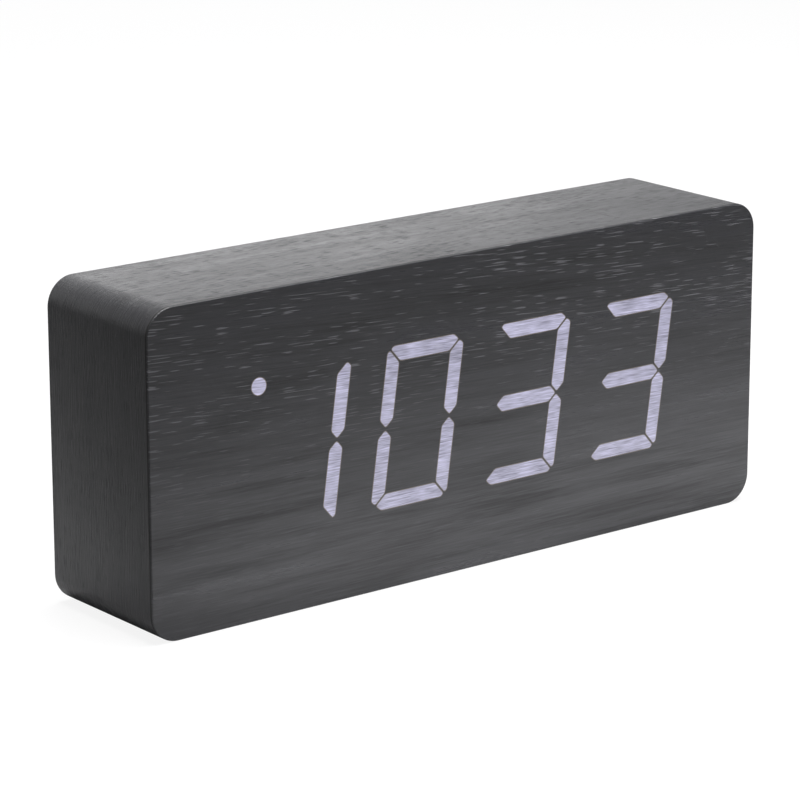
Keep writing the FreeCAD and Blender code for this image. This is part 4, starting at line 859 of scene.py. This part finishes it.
def cell_jacket(name):
    """Finish of one cell: a coloured band about its middle, dark ends, and the steel can bare past
    the sleeve. The distances run from the middle of the cell's own box."""
    low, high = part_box(name)
    material, graph, shader = new_material(name + "_jacket", Roughness=0.28)
    from_middle = graph.math("SUBTRACT", graph.split(graph.place())[0], (low.x + high.x) / 2)
    along = graph.math("ABSOLUTE", from_middle)
    past_band = graph.remap(along, BAND_END, BAND_END + 0.0003)
    sleeve = graph.blend(past_band, JACKET_BAND, JACKET_SLEEVE)
    bare = graph.remap(along, SLEEVE_END, SLEEVE_END + 0.0002)
    worn = graph.noise(graph.place(), detail=2.0, scale=240.0)
    tone = graph.math("MULTIPLY", graph.math("SUBTRACT", worn, 0.5), 0.3)
    colour = graph.blend(bare, sleeve, JACKET_CAN)
    graph.join(shader.inputs["Base Color"], toned(graph, colour, tone))
    graph.join(shader.inputs["Metallic"], bare)
    bump(graph, shader, worn, 0.00001)
    return material


print("the board's material:", board.name)

# %% Finishes by slot
FINISHES = {
    "film": moulded("diffusing_film", srgb(232, 232, 235), 0.6, grain=4200.0, drift=0.1),
    "black_moulding": moulded("black_moulding", srgb(34, 34, 36), 0.55, grain=2600.0),
    # The lit guide's paler, bluer colour is painted glow of the lamps behind it; the milky guide is
    # the unlit plastic.
    "lit_guide": moulded("lit_guide", srgb(225, 222, 238), 0.25, drift=0.1),
    "unlit_guide": moulded("milky_guide", srgb(196, 196, 198), 0.25, drift=0.1),
    "board": board,
    "led_resin": moulded("led_resin", srgb(222, 212, 150), 0.22, drift=0.2),
    "zinc_screw": metal("zinc_plate", srgb(196, 197, 198), 0.34),
    "chip": moulded("chip_epoxy", srgb(28, 28, 30), 0.5, grain=3800.0),
    "nickel": metal("nickel_plate", srgb(214, 208, 196), 0.24),
    "switch_body": moulded("black_nylon", srgb(32, 32, 33), 0.45, grain=3000.0),
    "switch_can": metal("tinned_steel", srgb(198, 198, 200), 0.3),
    "button_plastic": moulded("satin_button", srgb(26, 26, 28), 0.3, grain=5200.0, depth=0.000006),
    "sensor_glass": moulded("sensor_resin", srgb(46, 36, 28), 0.2),
    "ribbon": moulded("ribbon_grey", srgb(158, 160, 164), 0.42),
    "header_plastic": moulded("header_nylon", srgb(222, 216, 200), 0.4),
    "red_insulation": moulded("red_insulation", srgb(176, 26, 26), 0.36),
    "black_insulation": moulded("black_insulation", srgb(28, 28, 28), 0.36),
}
slot_of = {part["node"]: part["material_slot"] for part in frame["record"]["subparts"]}
dressed = 0
for name, node in nodes.items():
    slot = slot_of[name]
    if slot not in FINISHES and slot != "cell_jacket":
        continue
    finish = FINISHES.get(slot) or cell_jacket(name)
    node.data.materials.clear()
    node.data.materials.append(finish)
    dressed += 1
print(dressed, "CAD nodes dressed")

# %% [markdown]
# ## Floor, light and sky
# A satin surface shows what it faces. The top, seen at a shallow angle, mirrors a white backdrop
# low behind the clock. The table carries a painted pool of light before the clock and painted
# shade past it, on the camera's side only. The lower front mirrors that painted pool, so the front
# darkens towards its top, and so does the end. Camera rays and rays through glass see a white
# table, mostly by its own light and partly by the lamps, so that it keeps the clock's shadow.

# %% Table
# In metres. The painted pool of light fades in between its two limits each way.
FLOOR_HALF, FLOOR_DROP = 3, 0.00005
POOL_FRONT, POOL_BACK = -0.22, -0.05
POOL_LEFT, POOL_RIGHT = -0.20, 0.0
# The table's painted shade past the pool, and the colour of the painted pool of light.
PAINTED_SHADE, PAINTED_POOL = (0.12, 0.12, 0.12, 1), (0.85, 0.85, 0.86, 1)
OWN_LIGHT = 0.88

floor_mesh = bpy.data.meshes.new("floor")
corners = np.array([(-1, -1), (1, -1), (1, 1), (-1, 1)], float) * FLOOR_HALF
floor_mesh.from_pydata(np.insert(corners, 2, -FLOOR_DROP, axis=1).tolist(), [], [[0, 1, 2, 3]])
floor = bpy.data.objects.new("floor", floor_mesh)
bpy.context.scene.collection.objects.link(floor)

table = bpy.data.materials.new("table_with_painted_light")
table.use_nodes = True
graph = Graph(table.node_tree)
table.node_tree.nodes.clear()
rays = graph.add("ShaderNodeLightPath").outputs
seen = graph.math("MAXIMUM", rays["Is Camera Ray"], rays["Is Transmission Ray"])
spot = graph.split(graph.place())
# Painted light: for all but camera rays and rays through glass, the table is pale in the painted pool
# and painted dark as shade elsewhere.
ahead = graph.remap(spot[1], POOL_FRONT, POOL_BACK)
beside = graph.remap(spot[0], POOL_LEFT, POOL_RIGHT)
painted_pool_mask = graph.math("MULTIPLY", ahead, beside)
pale = graph.blend(graph.math("MAXIMUM", painted_pool_mask, seen), PAINTED_SHADE, PAINTED_POOL)
lit = graph.add("ShaderNodeBsdfDiffuse", {"Color": pale}).outputs[0]
white = graph.add("ShaderNodeEmission", {"Color": (1, 1, 1, 1), "Strength": 1.0}).outputs[0]
share = graph.math("MULTIPLY", seen, OWN_LIGHT)
mix = graph.add("ShaderNodeMixShader", {0: share, 1: lit, 2: white}).outputs[0]
graph.add("ShaderNodeOutputMaterial", {"Surface": mix})
floor_mesh.materials.append(table)
print("the table's material:", table.name)

# %% [markdown]
# ### Sky and lamps
# The sky lights the clock only softly. It is white to camera rays and to rays through glass, and to
# mirrored rays where the backdrop stands: behind the clock, and low. Two lamps do the rest. One
# hangs overhead, and the other lights the back of the top from where the backdrop is.

# %% Sky
SKY = 0.21
BACKDROP_HEADING = (0.55, 0.83, 0)
# Limits on how far a ray heads to the backdrop and on how steeply it rises.
BACKDROP_SIDE, BACKDROP_MIDDLE = 0.1, 0.7
BACKDROP_TOP, BACKDROP_FULL = 0.45, 0.2

world = bpy.data.worlds.new("studio")
bpy.context.scene.world = world
world.use_nodes = True
world.node_tree.nodes.clear()
graph = Graph(world.node_tree)
rays = graph.add("ShaderNodeLightPath").outputs
heading = graph.add("ShaderNodeTexCoord").outputs["Generated"]
towards = {0: heading, 1: BACKDROP_HEADING}
facing = graph.add("ShaderNodeVectorMath", towards, operation="DOT_PRODUCT").outputs["Value"]
behind = graph.remap(facing, BACKDROP_SIDE, BACKDROP_MIDDLE)
low = graph.remap(graph.split(heading)[2], BACKDROP_TOP, BACKDROP_FULL)
backdrop = graph.math("MULTIPLY", behind, low)
mirrored = graph.math("MULTIPLY", rays["Is Glossy Ray"], backdrop)
seen = graph.math("MAXIMUM", rays["Is Camera Ray"], rays["Is Transmission Ray"])
white = graph.math("MAXIMUM", seen, mirrored)
strength = graph.math("ADD", graph.math("MULTIPLY", white, 1.0 - SKY), SKY)
sky = graph.add("ShaderNodeBackground", {"Color": (1, 1, 1, 1), "Strength": strength}).outputs[0]
graph.add("ShaderNodeOutputWorld", {"Surface": sky})
print("sky strength on the clock:", SKY)


# %% Lamps
def softbox(name, at, aim, sides, power):
    """Oblong area lamp at a place, turned to face a point."""
    data = bpy.data.lights.new(name, "AREA")
    data.shape = "RECTANGLE"
    data.size, data.size_y = sides
    data.energy = power
    lamp = bpy.data.objects.new(name, data)
    lamp.location = at
    lamp.rotation_euler = (Vector(aim) - Vector(at)).to_track_quat("-Z", "Y").to_euler()
    bpy.context.scene.collection.objects.link(lamp)


softbox("overhead", (0.08, -0.07, 1.0), (0.04, -0.1, 0.0), (0.7, 0.7), 25)
softbox("backdrop", (0.48, 1.17, 0.33), (0, 0, 0.08), (0.9, 0.45), 1.35)
